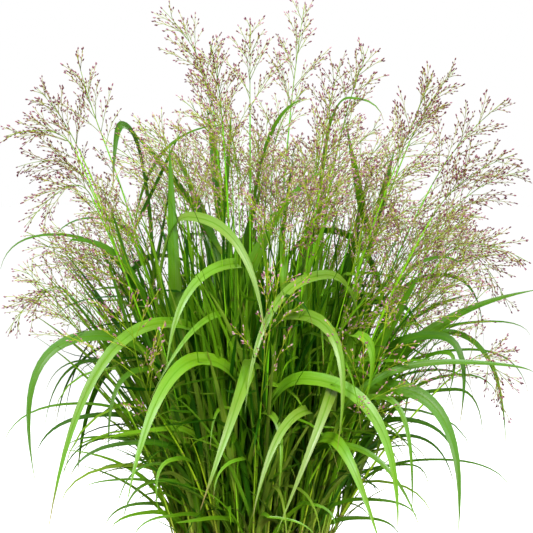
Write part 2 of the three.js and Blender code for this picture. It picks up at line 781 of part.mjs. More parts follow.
const group = new THREE.Group();
const { solid: potSolid, innerAt } = makePot();
group.add(meshFrom("pot", potSolid, clay));
group.add(meshFrom("soil", makeSoil(innerAt, stems), earth));
for (const stem of stems) group.add(meshFrom(stem.name, stem.solid, green));
for (const panicle of heads) group.add(meshFrom(panicle.name, panicle.solid, mauve));

export default group;
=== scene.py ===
import math

import bpy
import numpy as np
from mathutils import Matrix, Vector
from mathutils.kdtree import KDTree


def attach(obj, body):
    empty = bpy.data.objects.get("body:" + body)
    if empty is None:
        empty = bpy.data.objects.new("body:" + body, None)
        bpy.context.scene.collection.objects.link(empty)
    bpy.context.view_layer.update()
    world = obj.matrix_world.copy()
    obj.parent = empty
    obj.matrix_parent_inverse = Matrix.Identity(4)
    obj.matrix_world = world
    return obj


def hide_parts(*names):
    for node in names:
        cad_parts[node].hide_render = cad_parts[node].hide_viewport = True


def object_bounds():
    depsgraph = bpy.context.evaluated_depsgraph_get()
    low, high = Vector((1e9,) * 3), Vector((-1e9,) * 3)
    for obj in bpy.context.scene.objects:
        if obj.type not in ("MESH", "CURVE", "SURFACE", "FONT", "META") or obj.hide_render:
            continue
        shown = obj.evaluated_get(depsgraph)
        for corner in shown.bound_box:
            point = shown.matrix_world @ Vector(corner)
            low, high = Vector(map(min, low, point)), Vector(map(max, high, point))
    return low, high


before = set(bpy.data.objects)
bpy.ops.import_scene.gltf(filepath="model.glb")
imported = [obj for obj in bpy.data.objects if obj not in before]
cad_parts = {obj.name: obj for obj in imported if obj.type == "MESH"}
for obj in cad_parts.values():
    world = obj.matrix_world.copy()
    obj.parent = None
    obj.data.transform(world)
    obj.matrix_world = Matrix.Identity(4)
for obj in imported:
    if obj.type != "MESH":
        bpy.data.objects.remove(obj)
cadBox = [list(corner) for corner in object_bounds()]
print("frame loaded, box", cadBox)

# Lengths in the tables and the growth rules are millimetres, and meshes are metres.
mm = 0.001


def linked(name, data):
    made = bpy.data.objects.new(name, data)
    bpy.context.scene.collection.objects.link(made)
    return made


# Node trees, for shaders and for geometry alike


class Wire:
    # One output of a node. Sums on it add Math nodes.
    def __init__(self, tree, node, key=0):
        self.tree = tree
        self.node = node
        self.socket = node.outputs[key]

    def out(self, key):
        return Wire(self.tree, self.node, key)

    def __abs__(self):
        return self.tree.maths("ABSOLUTE", self)


def wireOperator(operation, isFlipped):
    def operator(wire, other):
        return wire.tree.maths(operation, *((other, wire) if isFlipped else (wire, other)))

    return operator


for sign, operation in {"add": "ADD", "sub": "SUBTRACT", "mul": "MULTIPLY"}.items():
    setattr(Wire, f"__{sign}__", wireOperator(operation, False))
    setattr(Wire, f"__r{sign}__", wireOperator(operation, True))


class NodeTree:
    def __init__(self, tree):
        self.tree = tree
        tree.nodes.clear()

    # A node from its type, the values or links of its sockets and its settings.
    def add(self, kind, values=None, **settings):
        node = self.tree.nodes.new(kind)
        for key, value in settings.items():
            setattr(node, key, value)
        for key, value in (values or {}).items():
            if isinstance(value, Wire):
                self.tree.links.new(value.socket, node.inputs[key])
            else:
                node.inputs[key].default_value = value
        return Wire(self, node) if node.outputs else None

    def geo(self, kind, values=None, **settings):
        return self.add("GeometryNode" + kind, values, **settings)

    def maths(self, operation, *terms):
        return self.add("ShaderNodeMath", dict(enumerate(terms)), operation=operation)

    def attributes(self, *names):
        return [self.add("ShaderNodeAttribute", attribute_name=name).out("Fac") for name in names]

    def place(self):
        return self.add("ShaderNodeTexCoord").out("Object")

    def join(self, x, y, z):
        return self.add("ShaderNodeCombineXYZ", {0: x, 1: y, 2: z})

    def split(self, vector):
        x = self.add("ShaderNodeSeparateXYZ", {0: vector})
        return x, x.out(1), x.out(2)

    def scaled(self, vector, scale):
        return self.add("ShaderNodeVectorMath", {0: vector, "Scale": scale}, operation="SCALE")

    def smooth(self, value, low, high, first=0.0, last=1.0):
        values = {0: value, 1: low, 2: high, 3: first, 4: last}
        return self.add("ShaderNodeMapRange", values, interpolation_type="SMOOTHSTEP", clamp=True)

    def noise(self, vector, scale, detail=3.0, roughness=0.55):
        values = {"Vector": vector, "Scale": scale, "Detail": detail, "Roughness": roughness}
        return self.add("ShaderNodeTexNoise", values)

    # A colour under others, each laid on by its share.
    def layers(self, colour, *coats):
        for share, coat in coats:
            first, second = (c if isinstance(c, Wire) else (*c, 1) for c in (colour, coat))
            values = {0: share, 6: first, 7: second}
            colour = self.add("ShaderNodeMix", values, data_type="RGBA").out(2)
        return colour

    def tint(self, colour, value, hue=0.5, saturation=1.0):
        values = {"Hue": hue, "Saturation": saturation, "Value": value, "Color": colour}
        return self.add("ShaderNodeHueSaturation", values)

    # The relief is a height, its strength and its depth in metres.
    def skin(self, colour, roughness, relief, specular=0.5, coat=None):
        bump = self.add("ShaderNodeBump", dict(zip(("Height", "Strength", "Distance"), relief)))
        values = {"Base Color": colour, "Roughness": roughness, "Normal": bump}
        values.update({"Specular IOR Level": specular, **(coat or {})})
        return self.add("ShaderNodeBsdfPrincipled", values)


def finish(name, surface, look):
    material = bpy.data.materials.new(name)
    material.use_nodes = True
    t = NodeTree(material.node_tree)
    t.add("ShaderNodeOutputMaterial", {"Surface": surface(t, look)})
    return material


# Finishes

# The first three colours are one leaf green shaded, half lit and lit: painted light and shade, picked by
# each leaf's tone.
leafLook = {
    "base": (0.26, 0.36, 0.02),
    "dark": (0.008, 0.078, 0.0004),
    "fresh": (0.158, 0.368, 0.004),
    "pale": (0.196, 0.280, 0.026),
    "midrib": (0.10, 0.25, 0.010),
    "tip": (0.26, 0.19, 0.04),
    "glow": (0.15, 0.46, 0.005),
    "glowShare": 0.3,
    "veins": 42,
}


def leafSurface(t, look):
    along, across, tone, seed, sheen = t.attributes("along", "across", "tone", "seed", "sheen")
    streaks = t.noise(t.join(across * 3.2, along * 5, seed * 37), 2.2, 4)
    patches = t.noise(t.join(along * 3, seed * 91, across * 0.4), 1.6, 2)
    # Each leaf's tone picks its green from shaded to lit: painted light and shade, partly random.
    green = t.layers(
        look["dark"],
        (t.smooth(tone, 0.0, 0.6), look["fresh"]),
        (t.smooth(tone, 0.6, 1.0), look["pale"]))
    value = 0.62 + 0.42 * streaks + 0.34 * patches
    green = t.tint(green, value, 0.475 + 0.05 * patches, 1.12 - 0.25 * streaks)
    rib = t.smooth(abs(across), 0.04, 0.22, 1.0, 0.0) * t.smooth(along, 0.75, 1.0, 1.0, 0.0)
    dryness = t.smooth(along + 0.05 * seed, 0.955, 1.03) * t.smooth(seed, 0.3, 0.6)
    # Laid over the green: painted shade in the midrib groove, stronger on glossy leaves, then the olive
    # leaf base and the dry tip.
    shade = t.layers(
        green,
        (rib * (0.25 + 0.45 * sheen), look["midrib"]),
        (t.smooth(along, 0.0, 0.13, 0.8, 0.0), look["base"]),
        (dryness, look["tip"]))
    veins = t.maths("SINE", across * look["veins"]) * 0.5 + streaks * 0.8
    gloss = sheen * (0.05 + 0.65 * streaks + 0.65 * patches) * (1 - 0.8 * rib)
    coat = {"Coat Weight": gloss, "Coat Roughness": 0.4, "Coat IOR": 1.8}
    skin = t.skin(shade, 0.42 + 0.2 * streaks, (veins - rib * 1.5, 0.35, 0.0005), 0.08, coat)
    glow = t.add("ShaderNodeBsdfTranslucent", {"Color": (*look["glow"], 1)})
    return t.add("ShaderNodeMixShader", {0: look["glowShare"], 1: skin, 2: glow})


culmLook = {
    "foot": (0.38, 0.34, 0.085),
    "low": (0.31, 0.54, 0.016),
    "high": (0.18, 0.47, 0.006),
    "joint": (0.16, 0.11, 0.035),
}


def culmSurface(t, look):
    x, y, height = t.split(t.place())
    seed, joint = t.attributes("seed", "joint")
    lines = t.noise(t.join(x * 9, y * 9, height * 0.6), 60, 3)
    colour = t.layers(
        look["foot"],
        (t.smooth(height, 0.19, 0.27), look["low"]),
        (t.smooth(height + 0.1 * seed, 0.27, 0.52), look["high"]),
        (joint * 0.7, look["joint"]))
    shade = t.tint(colour, 0.6 + 0.7 * lines, 0.48 + 0.04 * seed)
    return t.skin(shade, 0.42 + 0.2 * lines, (lines, 0.3, 0.0004), 0.15)


twigLook = {
    "green": (0.17, 0.31, 0.006),
    "straw": (0.42, 0.47, 0.025),
    "plum": (0.20, 0.10, 0.08),
}


def twigSurface(t, look):
    fine, purple = t.attributes("along", "tone")
    mottle = t.noise(t.place(), 160, 2)
    colour = t.layers(
        look["green"],
        (t.smooth(fine, 0.2, 0.9), look["straw"]),
        (t.smooth(purple * mottle, 0.2, 0.55, 0.0, 0.7), look["plum"]))
    shade = t.tint(colour, 0.65 + 0.7 * mottle)
    return t.skin(shade, 0.5 + 0.15 * mottle, (mottle, 0.2, 0.0003), 0.12)


huskLook = {
    "plum": (0.110, 0.020, 0.040),
    "mauve": (0.29, 0.105, 0.160),
    "pink": (0.60, 0.36, 0.42),
    "green": (0.30, 0.29, 0.05),
    "rust": (0.40, 0.14, 0.02),
}


def huskSurface(t, look):
    along, tone, seed = t.attributes("huskAlong", "tone", "seed")
    scales = t.noise(t.join(along * 6, seed * 41, tone * 7), 1.7, 2)
    colour = t.layers(
        look["green"],
        (t.smooth(tone, 0.0, 0.2), look["pink"]),
        (t.smooth(tone, 0.2, 0.5), look["mauve"]),
        (t.smooth(tone, 0.5, 0.85), look["plum"]),
        (t.smooth(along, 0.62, 0.95) * t.smooth(seed, 0.25, 0.6) * 0.6, look["rust"]),
        (t.smooth(along, 0.0, 0.2, 0.5, 0.0), look["green"]))
    shade = t.tint(colour, 0.6 + 0.8 * scales)
    return t.skin(shade, 0.45 + 0.2 * scales, (t.maths("SINE", along * 34), 0.4, 0.0003), 0.2)


clayLook = {
    "body": (0.52, 0.215, 0.105),
    "dark": (0.30, 0.115, 0.055),
    "bloom": (0.66, 0.50, 0.40),
    "damp": (0.24, 0.105, 0.06),
}


def claySurface(t, look):
    place = t.place()
    x, y, height = t.split(place)
    clouds, grain, spots = t.noise(place, 9, 5), t.noise(place, 420, 3), t.noise(place, 95, 4)
    rings = t.noise(t.join(x * 0.15, y * 0.15, height), 130, 2)
    bloom = t.smooth(clouds + 0.3 * spots, 0.66, 0.9) * t.smooth(height, 0.02, 0.14, 1.0, 0.35)
    colour = t.layers(
        look["dark"],
        (t.smooth(clouds, 0.3, 0.7), look["body"]),
        (0.68, look["body"]),
        (bloom * 0.5, look["bloom"]),
        (t.smooth(height, 0.0, 0.035, 0.55, 0.0), look["damp"]))
    shade = t.tint(colour, 0.82 + 0.2 * grain + 0.16 * rings)
    return t.skin(shade, 0.76 + 0.18 * grain, (grain * 0.5 + rings + spots * 0.6, 0.4, 0.0011))


earthLooks = {
    "pottingMix": {"dark": (0.012, 0.008, 0.005), "light": (0.060, 0.038, 0.023), "scale": 110},
    "soilCrumb": {"dark": (0.016, 0.010, 0.006), "light": (0.095, 0.060, 0.036), "scale": 170},
    "barkChip": {"dark": (0.050, 0.024, 0.012), "light": (0.20, 0.115, 0.060), "scale": 140},
    "perlite": {"dark": (0.58, 0.56, 0.50), "light": (0.86, 0.85, 0.80), "scale": 260},
}


def earthSurface(t, look):
    place, scale = t.place(), look["scale"]
    lumps, grain = t.noise(place, scale, 6, 0.65), t.noise(place, scale * 7, 4, 0.7)
    share = t.smooth(lumps * 0.6 + grain * 0.4, 0.34, 0.66)
    colour = t.layers(look["dark"], (share, look["light"]))
    return t.skin(colour, 0.8 + 0.18 * grain, (lumps + grain * 0.6, 0.7, 0.0016))


leafSkin = finish("leafBlade", leafSurface, leafLook)
culmSkin = finish("culmSheath", culmSurface, culmLook)
twigSkin = finish("twigSkin", twigSurface, twigLook)
huskSkin = finish("spikeletHusk", huskSurface, huskLook)
clay = finish("firedClay", claySurface, clayLook)
earths = {name: finish(name, earthSurface, look) for name, look in earthLooks.items()}
print("finishes made")


# Geometry trees

threads = ("halfWidth", "along", "tone", "seed", "sheen", "joint", "isBlade", "isHusk", "size")
socketKinds = {int: "Int", float: "Float", type(None): "Material"}


# A tree with an input for each size, where None stands for a material.
def geometryTree(name, sizes):
    tree = bpy.data.node_groups.new(name, "GeometryNodeTree")
    face = tree.interface
    face.new_socket("Geometry", in_out="INPUT", socket_type="NodeSocketGeometry")
    for label, value in sizes.items():
        kind = "NodeSocket" + socketKinds[type(value)]
        socket = face.new_socket(label, in_out="INPUT", socket_type=kind)
        if value is not None:
            socket.default_value = value
    face.new_socket("Geometry", in_out="OUTPUT", socket_type="NodeSocketGeometry")
    t = NodeTree(tree)
    return t, t.add("NodeGroupInput").out


def named(t, name, kind="FLOAT"):
    return t.geo("InputNamedAttribute", {"Name": name}, data_type=kind)


def flagged(t, name):
    return t.maths("GREATER_THAN", named(t, name), 0.5)


def store(t, geometry, name, value):
    values = {"Geometry": geometry, "Name": name, "Value": value}
    return t.geo("StoreNamedAttribute", values, data_type="FLOAT", domain="POINT")


def moved(t, geometry, place):
    return t.geo("SetPosition", {"Geometry": geometry, "Position": place})


def parted(t, geometry, flag):
    values = {"Geometry": geometry, "Selection": flagged(t, flag)}
    kept = t.geo("SeparateGeometry", values, domain="POINT")
    return kept, kept.out(1)


def circle(t, sides):
    return t.geo("CurvePrimitiveCircle", {"Resolution": sides}, mode="RADIUS")


def swept(t, line, profile, normal=None):
    curve = t.geo("MeshToCurve", {"Mesh": line})
    if normal:
        curve = t.geo("SetCurveNormal", {"Curve": curve, "Normal": normal}, mode="FREE")
    return t.geo("CurveToMesh", {
        "Curve": curve,
        "Profile Curve": profile,
        "Scale": named(t, "halfWidth"),
        "Fill Caps": True,
    })


def joined(t, *parts):
    whole = t.geo("JoinGeometry")
    for part in reversed(parts):
        t.tree.links.new(part.socket, whole.node.inputs[0])
    return whole


# Realized, shaded smooth but at sharp edges, and given its two materials.
def ended(t, geometry, sharpFrom, material, flag, second):
    whole = t.geo("RealizeInstances", {"Geometry": geometry})
    isSmooth = t.maths("LESS_THAN", t.geo("InputMeshEdgeAngle"), sharpFrom)
    whole = t.geo("SetShadeSmooth", {"Geometry": whole, "Shade Smooth": isSmooth}, domain="EDGE")
    whole = t.geo("SetMaterial", {"Geometry": whole, "Material": material})
    values = {"Geometry": whole, "Selection": flagged(t, flag), "Material": second}
    t.add("NodeGroupOutput", {"Geometry": t.geo("SetMaterial", values)})


# Folded blades and round culms along the polylines of a mesh.
def foliageTree():
    t, size = geometryTree("foliage", {
        "Blade sides": 8,
        "Fold": 0.3,
        "Thickness": 0.05,
        "Culm sides": 7,
        "Culm finish": None,
        "Blade finish": None,
    })
    blades, culms = parted(t, size("Geometry"), "isBlade")
    x, y, _ = t.split(t.geo("InputPosition"))
    lift = size("Fold") * (abs(x) - 0.5) + y * size("Thickness")
    ring = store(t, circle(t, size("Blade sides")), "across", x)
    ring = moved(t, ring, t.join(x, lift, 0.0))
    made = joined(
        t,
        swept(t, blades, ring, named(t, "sideways", "FLOAT_VECTOR")),
        swept(t, culms, circle(t, size("Culm sides"))))
    ended(t, made, 0.9, size("Culm finish"), "isBlade", size("Blade finish"))
    return t.tree


# Twigs along the polylines of a mesh, and a spikelet on each of its loose points.
def seedHeadTree():
    t, size = geometryTree("seedHead", {
        "Twig sides": 3,
        "Husk sides": 4,
        "Husk rings": 3,
        "Husk radius": 0.215,
        "Twig finish": None,
        "Husk finish": None,
    })
    husks, twigs = parted(t, size("Geometry"), "isHusk")
    ball = t.geo("MeshUVSphere", {
        "Segments": size("Husk sides"), "Rings": size("Husk rings"), "Radius": 1.0})
    x, y, z = t.split(t.geo("InputPosition"))
    share = z * 0.5 + 0.5
    girth = size("Husk radius") * (1.28 - 0.42 * share)
    ball = store(t, ball, "huskAlong", share)
    aim = {"Vector": named(t, "sideways", "FLOAT_VECTOR")}
    spikelets = t.geo("InstanceOnPoints", {
        "Points": husks,
        "Instance": moved(t, ball, t.join(x * girth, y * girth, share)),
        "Rotation": t.add("FunctionNodeAlignRotationToVector", aim, axis="Z"),
        "Scale": named(t, "size"),
    })
    made = joined(t, swept(t, twigs, circle(t, size("Twig sides"))), spikelets)
    ended(t, made, 2.2, size("Twig finish"), "isHusk", size("Husk finish"))
    return t.tree


# Rough grains scattered over the upward faces of a mesh.
def grainTree():
    t, size = geometryTree("grains", {
        "Density": 20000.0,
        "Least": 0.002,
        "Most": 0.005,
        "Flatness": 0.8,
        "Roughness": 0.3,
        "Seed": 1,
        "Finish": None,
    })

    def chance(low, high, seed):
        values = {2: low, 3: high, 8: seed}
        return t.add("FunctionNodeRandomValue", values, data_type="FLOAT").out(1)

    normal = t.geo("InputNormal")
    spots = t.geo("DistributePointsOnFaces", {
        "Mesh": size("Geometry"),
        "Selection": t.maths("GREATER_THAN", t.split(normal)[2], 0.5),
        "Density": size("Density"),
        "Seed": size("Seed"),
    }, distribute_method="RANDOM")
    turns = {0: (0, 0, 0), 1: (6.28, 6.28, 6.28), 8: 5}
    squeeze = t.join(chance(0.6, 1.2, 7), chance(0.6, 1.2, 8), size("Flatness"))
    grains = t.geo("InstanceOnPoints", {
        "Points": spots,
        "Instance": t.geo("MeshIcoSphere", {"Radius": 1.0, "Subdivisions": 1}),
        "Rotation": t.add("FunctionNodeRandomValue", turns, data_type="FLOAT_VECTOR"),
        "Scale": t.scaled(squeeze, chance(size("Least"), size("Most"), 3)),
    })
    whole = t.geo("RealizeInstances", {"Geometry": grains})
    knobs = t.noise(t.geo("InputPosition"), 420.0, 1.0, 0.5)
    push = (knobs - 0.5) * size("Roughness") * size("Most") * 2
    whole = t.geo("SetPosition", {"Geometry": whole, "Offset": t.scaled(normal, push)})
    whole = t.geo("RealizeInstances", {"Geometry": whole})
    whole = t.geo("SetMaterial", {"Geometry": whole, "Material": size("Finish")})
    t.add("NodeGroupOutput", {"Geometry": whole})
    return t.tree


# The plain mesh that an object's modifiers make, which are then removed.
def settled(piece, name):
    depsgraph = bpy.context.evaluated_depsgraph_get()
    made = bpy.data.meshes.new_from_object(piece.evaluated_get(depsgraph))
    made.name = name
    piece.modifiers.clear()
    return made


# A plain mesh object from what a tree makes of a mesh.
def grown(name, mesh, tree, values):
    source = linked(name + "Source", mesh)
    modifier = source.modifiers.new("grow", "NODES")
    modifier.node_group = tree
    for item in tree.interface.items_tree:
        if item.in_out == "INPUT" and item.name in values:
            modifier[item.identifier] = values[item.name]
    made = settled(source, name)
    bpy.data.objects.remove(source)
    return linked(name, made)


foliage, seedHeads, grains = foliageTree(), seedHeadTree(), grainTree()
print("geometry trees made")


# Polylines and loose points, with the values that the trees and finishes read.
class Strands:
    def __init__(self):
        self.points = []
        self.edges = []
        self.values = {name: [] for name in threads}
        self.sideways = []

    def put(self, points, sideways, values):
        count = len(points)
        self.points.extend(points)
        self.sideways.extend(sideways if np.ndim(sideways) == 2 else [sideways] * count)
        for name in threads:
            value = values.get(name, 0.0)
            self.values[name].extend(value if np.ndim(value) else [value] * count)

    def line(self, points, sideways=(0, 0, 1), **values):
        start = len(self.points)
        self.put(points, sideways, values)
        self.edges.extend((start + i, start + i + 1) for i in range(len(points) - 1))

    def husk(self, point, aim, **values):
        self.put([point], [aim], {"isHusk": 1.0, **values})

    def mesh(self, name):
        mesh = bpy.data.meshes.new(name)
        mesh.from_pydata(np.array(self.points) * mm, self.edges, [])
        for key, values in self.values.items():
            scale = mm if key in ("halfWidth", "size") else 1
            layer = mesh.attributes.new(key, "FLOAT", "POINT")
            layer.data.foreach_set("value", np.array(values, np.float32) * scale)
        layer = mesh.attributes.new("sideways", "FLOAT_VECTOR", "POINT")
        layer.data.foreach_set("vector", np.array(self.sideways, np.float32).ravel())
        return mesh


# Growth rules, the same as the solids'

pot = {
    "height": 200, "rimRadius": 120, "rimHeight": 36, "wallTopRadius": 110,
    "footRadius": 79, "innerFootRadius": 71, "innerRimRadius": 110, "floorThickness": 12,
    "drainHoles": 4, "drainRadius": 6, "drainRing": 42,
}
soilTop = 180
culm = {"footRadius": 2.8, "neckRadius": 1.1, "buried": 8}
crown = {"across": 0.31, "deep": 0.29, "lowLean": 0.35, "lowRise": 0.6}
blade = {"turn": (24, 60), "slimRoot": 0.25, "rootShare": 0.22, "taper": 2.4, "headingShare": 0.25}
leafShifts = [0, -10, 10, -20, 20, -32, 32, -46, 46, -60, 60]
head = {
    "steps": 3, "branches": 6, "lowBranches": 4, "firstBranch": 0.06, "lastBranch": 0.84,
    "branchShare": 0.42, "branchLeast": 13, "branchTaper": 0.7, "spread": 40, "upturn": 0.15,
    "spiral": 137.5, "turnPerHead": 40,
}
branchTurns = [0, 24, -24, 48, -48, 75, -75, 110, -110, 150]

# Stems: the neck, where the leaves end, and the tip of the seed head's stalk.
floweringStems = [
    ((-50, 40, 790), (-120, 50, 930)),
    ((0, -5, 785), (0, -10, 910)),
    ((55, 55, 790), (75, 90, 940)),
    ((120, -50, 755), (155, -75, 870)),
    ((220, 75, 750), (285, 110, 850)),
    ((190, -100, 715), (235, -140, 835)),
    ((245, 0, 690), (345, 0, 805)),
    ((235, -140, 650), (335, -190, 730)),
    ((270, 75, 640), (385, 100, 710)),
    ((250, -75, 590), (365, -90, 590)),
    ((285, 140, 580), (370, 160, 510)),
    ((-200, 20, 755), (-235, 25, 865)),
    ((-240, 105, 740), (-300, 140, 825)),
    ((-230, -60, 735), (-320, -75, 755)),
    ((-205, -110, 675), (-285, -160, 640)),
    ((-230, 150, 690), (-335, 200, 715)),
    ((-240, -5, 540), (-325, -30, 495)),
    ((-200, 195, 535), (-260, 220, 600)),
    ((295, -60, 460), (335, -75, 385)),
    ((-35, -110, 770), (-50, -160, 870)),
    ((90, -175, 685), (100, -240, 805)),
    ((-50, 175, 740), (-75, 250, 870)),
    ((100, 190, 740), (130, 260, 870)),
    ((15, 250, 665), (25, 360, 800)),
]
lowStems = [
    ((-140, -90, 540), (-190, -145, 700)),
    ((-110, -150, 385), (-150, -215, 560)),
    ((120, -145, 375), (175, -215, 545)),
    ((180, -30, 380), (265, -70, 560)),
    ((15, -175, 415), (40, -240, 590)),
    ((150, 60, 560), (200, 90, 750)),
    ((-185, 55, 450), (-240, 110, 640)),
    ((-30, -40, 600), (-60, -60, 790)),
    ((65, -55, 590), (95, -60, 780)),
]
# Arching leaves: near where each leaves its stem, its crest, its tip, width and bow.
archingLeaves = [
    ((-100, -25, 535), (-170, -50, 770), (-180, -70, 685), 15, 0),
    ((45, -60, 605), (130, -75, 805), (175, -90, 775), 9, 0),
    ((-105, -25, 495), (-260, -50, 625), (-330, -60, 580), 7, 0),
    ((-110, 40, 505), (-215, 50, 645), (-285, 60, 575), 5, 0),
    ((-120, -75, 445), (-230, -110, 620), (-235, -120, 605), 13.5, 0),
    ((-110, -60, 500), (-80, -110, 650), (20, -210, 500), 16.5, 0),
    ((15, -75, 470), (-15, -125, 590), (-105, -190, 460), 16.5, 0),
    ((135, -75, 460), (100, -110, 575), (-5, -200, 405), 13.5, 0),
    ((15, -90, 340), (0, -150, 460), (-60, -260, 290), 21, 50),
    ((-20, -75, 350), (65, -150, 525), (110, -240, 360), 19.5, 35),
    ((-15, -90, 380), (-35, -125, 525), (-125, -200, 420), 12, 35),
    ((100, -110, 410), (135, -150, 500), (130, -210, 370), 13.5, 50),
    ((-100, -60, 380), (-200, -110, 495), (-275, -150, 305), 15, -50),
    ((-30, -90, 365), (-110, -160, 515), (-250, -250, 260), 18, 20),
    ((-15, -100, 340), (-65, -175, 470), (-150, -275, 300), 21, 20),
    ((-100, -75, 350), (-140, -100, 450), (-180, -150, 335), 10.5, -15),
    ((-100, -25, 265), (-230, -50, 400), (-330, -60, 340), 6, 0),
    ((-90, 10, 260), (-190, 0, 380), (-290, -10, 325), 10.5, 0),
    ((-85, 60, 240), (-205, 75, 340), (-260, 90, 320), 7.5, 0),
    ((-80, -110, 270), (-145, -140, 360), (-230, -160, 315), 10.5, 0),
    ((-75, 40, 230), (-170, 50, 305), (-205, 60, 300), 7.5, 0),
    ((-60, -40, 225), (-165, -60, 300), (-220, -75, 290), 6, 0),
    ((-60, -140, 280), (-95, -160, 340), (-110, -190, 250), 7.5, -25),
    ((-75, -90, 235), (-120, -110, 305), (-165, -140, 250), 7.5, 0),
    ((-115, 25, 345), (-210, 40, 450), (-285, 50, 345), 7.5, 0),
    ((-125, 75, 350), (-225, 100, 445), (-290, 110, 390), 5, 0),
    ((-60, 25, 210), (-140, 25, 255), (-200, 25, 220), 7.5, 0),
    ((-50, -125, 215), (-100, -150, 265), (-150, -160, 235), 7.5, 0),
    ((-65, -60, 250), (-120, -90, 325), (-175, -105, 260), 6, 0),
    ((95, -75, 310), (110, -140, 445), (35, -250, 260), 18, 65),
    ((100, -110, 305), (75, -175, 405), (5, -250, 280), 15, 15),
    ((5, -125, 320), (20, -150, 400), (35, -200, 285), 10.5, 20),
    ((-5, -110, 305), (-35, -150, 405), (-50, -175, 355), 9, 0),
    ((20, -110, 250), (-10, -160, 340), (-45, -200, 295), 9, -5),
    ((0, -100, 210), (-65, -150, 260), (-95, -175, 260), 10.5, 0),
    ((-5, -120, 210), (25, -190, 270), (85, -210, 245), 7.5, 0),
    ((45, -100, 215), (80, -150, 280), (110, -175, 240), 7.5, 10),
    ((180, -40, 455), (255, -50, 595), (290, -60, 560), 7.5, 0),
    ((170, 50, 435), (265, 75, 565), (325, 100, 460), 9, 10),
    ((165, 75, 350), (335, 100, 500), (390, 110, 480), 7.5, 0),
    ((160, -25, 375), (260, -40, 495), (340, -60, 335), 10.5, 10),
    ((170, 10, 355), (245, 10, 485), (300, 10, 415), 10.5, 0),
    ((165, -75, 380), (245, -110, 495), (270, -150, 380), 13.5, 25),
    ((120, -125, 355), (265, -160, 465), (360, -190, 455), 12, 0),
    ((180, 75, 340), (305, 100, 460), (390, 110, 395), 6, 0),
    ((185, -100, 370), (255, -140, 475), (240, -160, 375), 9, 35),
    ((5, -100, 315), (75, -175, 445), (185, -260, 260), 21, 20),
    ((115, -90, 300), (185, -140, 430), (265, -200, 250), 21, 25),
    ((125, -125, 320), (170, -160, 420), (205, -200, 255), 10.5, 15),
    ((125, -50, 270), (200, -60, 380), (275, -75, 320), 10.5, 0),
    ((65, -110, 265), (120, -175, 360), (215, -240, 260), 12, -20),
    ((65, -125, 280), (105, -190, 370), (165, -260, 240), 18, -30),
    ((125, -40, 255), (255, -50, 325), (350, -60, 280), 5, 0),
    ((135, 10, 250), (210, 10, 350), (280, 10, 265), 7.5, 0),
    ((180, 60, 295), (285, 90, 405), (325, 100, 305), 7.5, 10),
    ((145, 40, 230), (215, 50, 305), (245, 55, 255), 6, 10),
    ((80, -75, 215), (165, -110, 280), (220, -125, 255), 7.5, 0),
    ((75, -25, 210), (150, -40, 245), (200, -40, 220), 7.5, 0),
    ((170, 40, 330), (260, 60, 435), (310, 75, 390), 6, 0),
    ((180, -10, 320), (285, -10, 435), (335, -10, 400), 6, 0),
]
# Rising leaves: near where each leaves its stem, its tip, width and how far it bends.
risingLeaves = [
    ((-90, 40, 590), (-180, 60, 780), 10.5, 0.2),
    ((-105, 10, 630), (-90, 10, 770), 7, 0),
    ((-105, -40, 630), (-30, -60, 770), 9, 1),
    ((-10, 50, 615), (-60, 75, 795), 15, 0.2),
    ((-20, 25, 630), (-25, 25, 795), 7.5, 0),
    ((-15, -25, 615), (75, -50, 805), 12, 0.9),
    ((110, 50, 600), (130, 60, 780), 13.5, 0),
    ((150, 90, 600), (200, 110, 740), 12, 0.1),
    ((-110, 50, 490), (-100, 40, 740), 19.5, 0),
    ((-115, -60, 445), (-185, -75, 670), 12, 0),
    ((-135, 25, 450), (-205, 25, 605), 9, 0),
    ((-15, -50, 495), (105, -90, 715), 18, 0.6),
    ((20, -150, 465), (40, -160, 635), 15, 0),
    ((35, -75, 485), (105, -125, 630), 12, 0.8),
    ((-60, -100, 435), (-145, -140, 535), 9, 1),
    ((65, -125, 215), (0, -200, 305), 13.5, 0.3),
    ((-35, -100, 260), (-130, -150, 375), 10.5, 0.7),
    ((-35, -110, 275), (-115, -160, 405), 12, 0.3),
    ((135, -75, 350), (230, -110, 590), 19.5, 0.1),
    ((125, -50, 335), (380, -100, 555), 18, 0.7),
    ((135, 0, 360), (305, -10, 545), 12, 0.7),
    ((10, 90, 480), (20, 130, 700), 14, 0.3),
    ((60, 90, 470), (110, 150, 690), 14, 0.3),
    ((-50, 90, 470), (-90, 140, 690), 14, 0.3),
    ((90, 30, 500), (160, 60, 700), 13, 0.2),
    ((-10, -20, 480), (-30, -60, 660), 13, 0.3),
    ((40, 20, 520), (60, 20, 740), 12, 0.1),
    ((-60, 60, 560), (-110, 100, 740), 12, 0.2),
    ((70, 120, 560), (120, 170, 730), 12, 0.2),
]
backGrowth = {
    "leaves": 24, "angle": (12, 168), "reach": (190, 330), "rootReach": (45, 100), "low": (225, 520),
    "rise": (80, 150), "swing": 0.22, "drop": (40, 190), "least": 215, "width": (6, 18), "turn": 45,
}


def draw(a, b):
    wave = math.sin(a * 12.9898 + b * 78.233) * 43758.5453
    return wave - math.floor(wave)


def mix(a, b, share):
    return a + (b - a) * share


def mixed(first, second, shares):
    return tuple(mix(a, b, share) for a, b, share in zip(first, second, shares))


def unit(vector):
    return vector / max(np.linalg.norm(vector), 1e-9)


def levelNormal(heading):
    return unit(np.array([-heading[1], heading[0], 0.0]))


def onRing(radius, angle, height):
    return (radius * math.cos(angle), radius * math.sin(angle), height)


def between(least, value, most):
    return min(most, max(least, value))


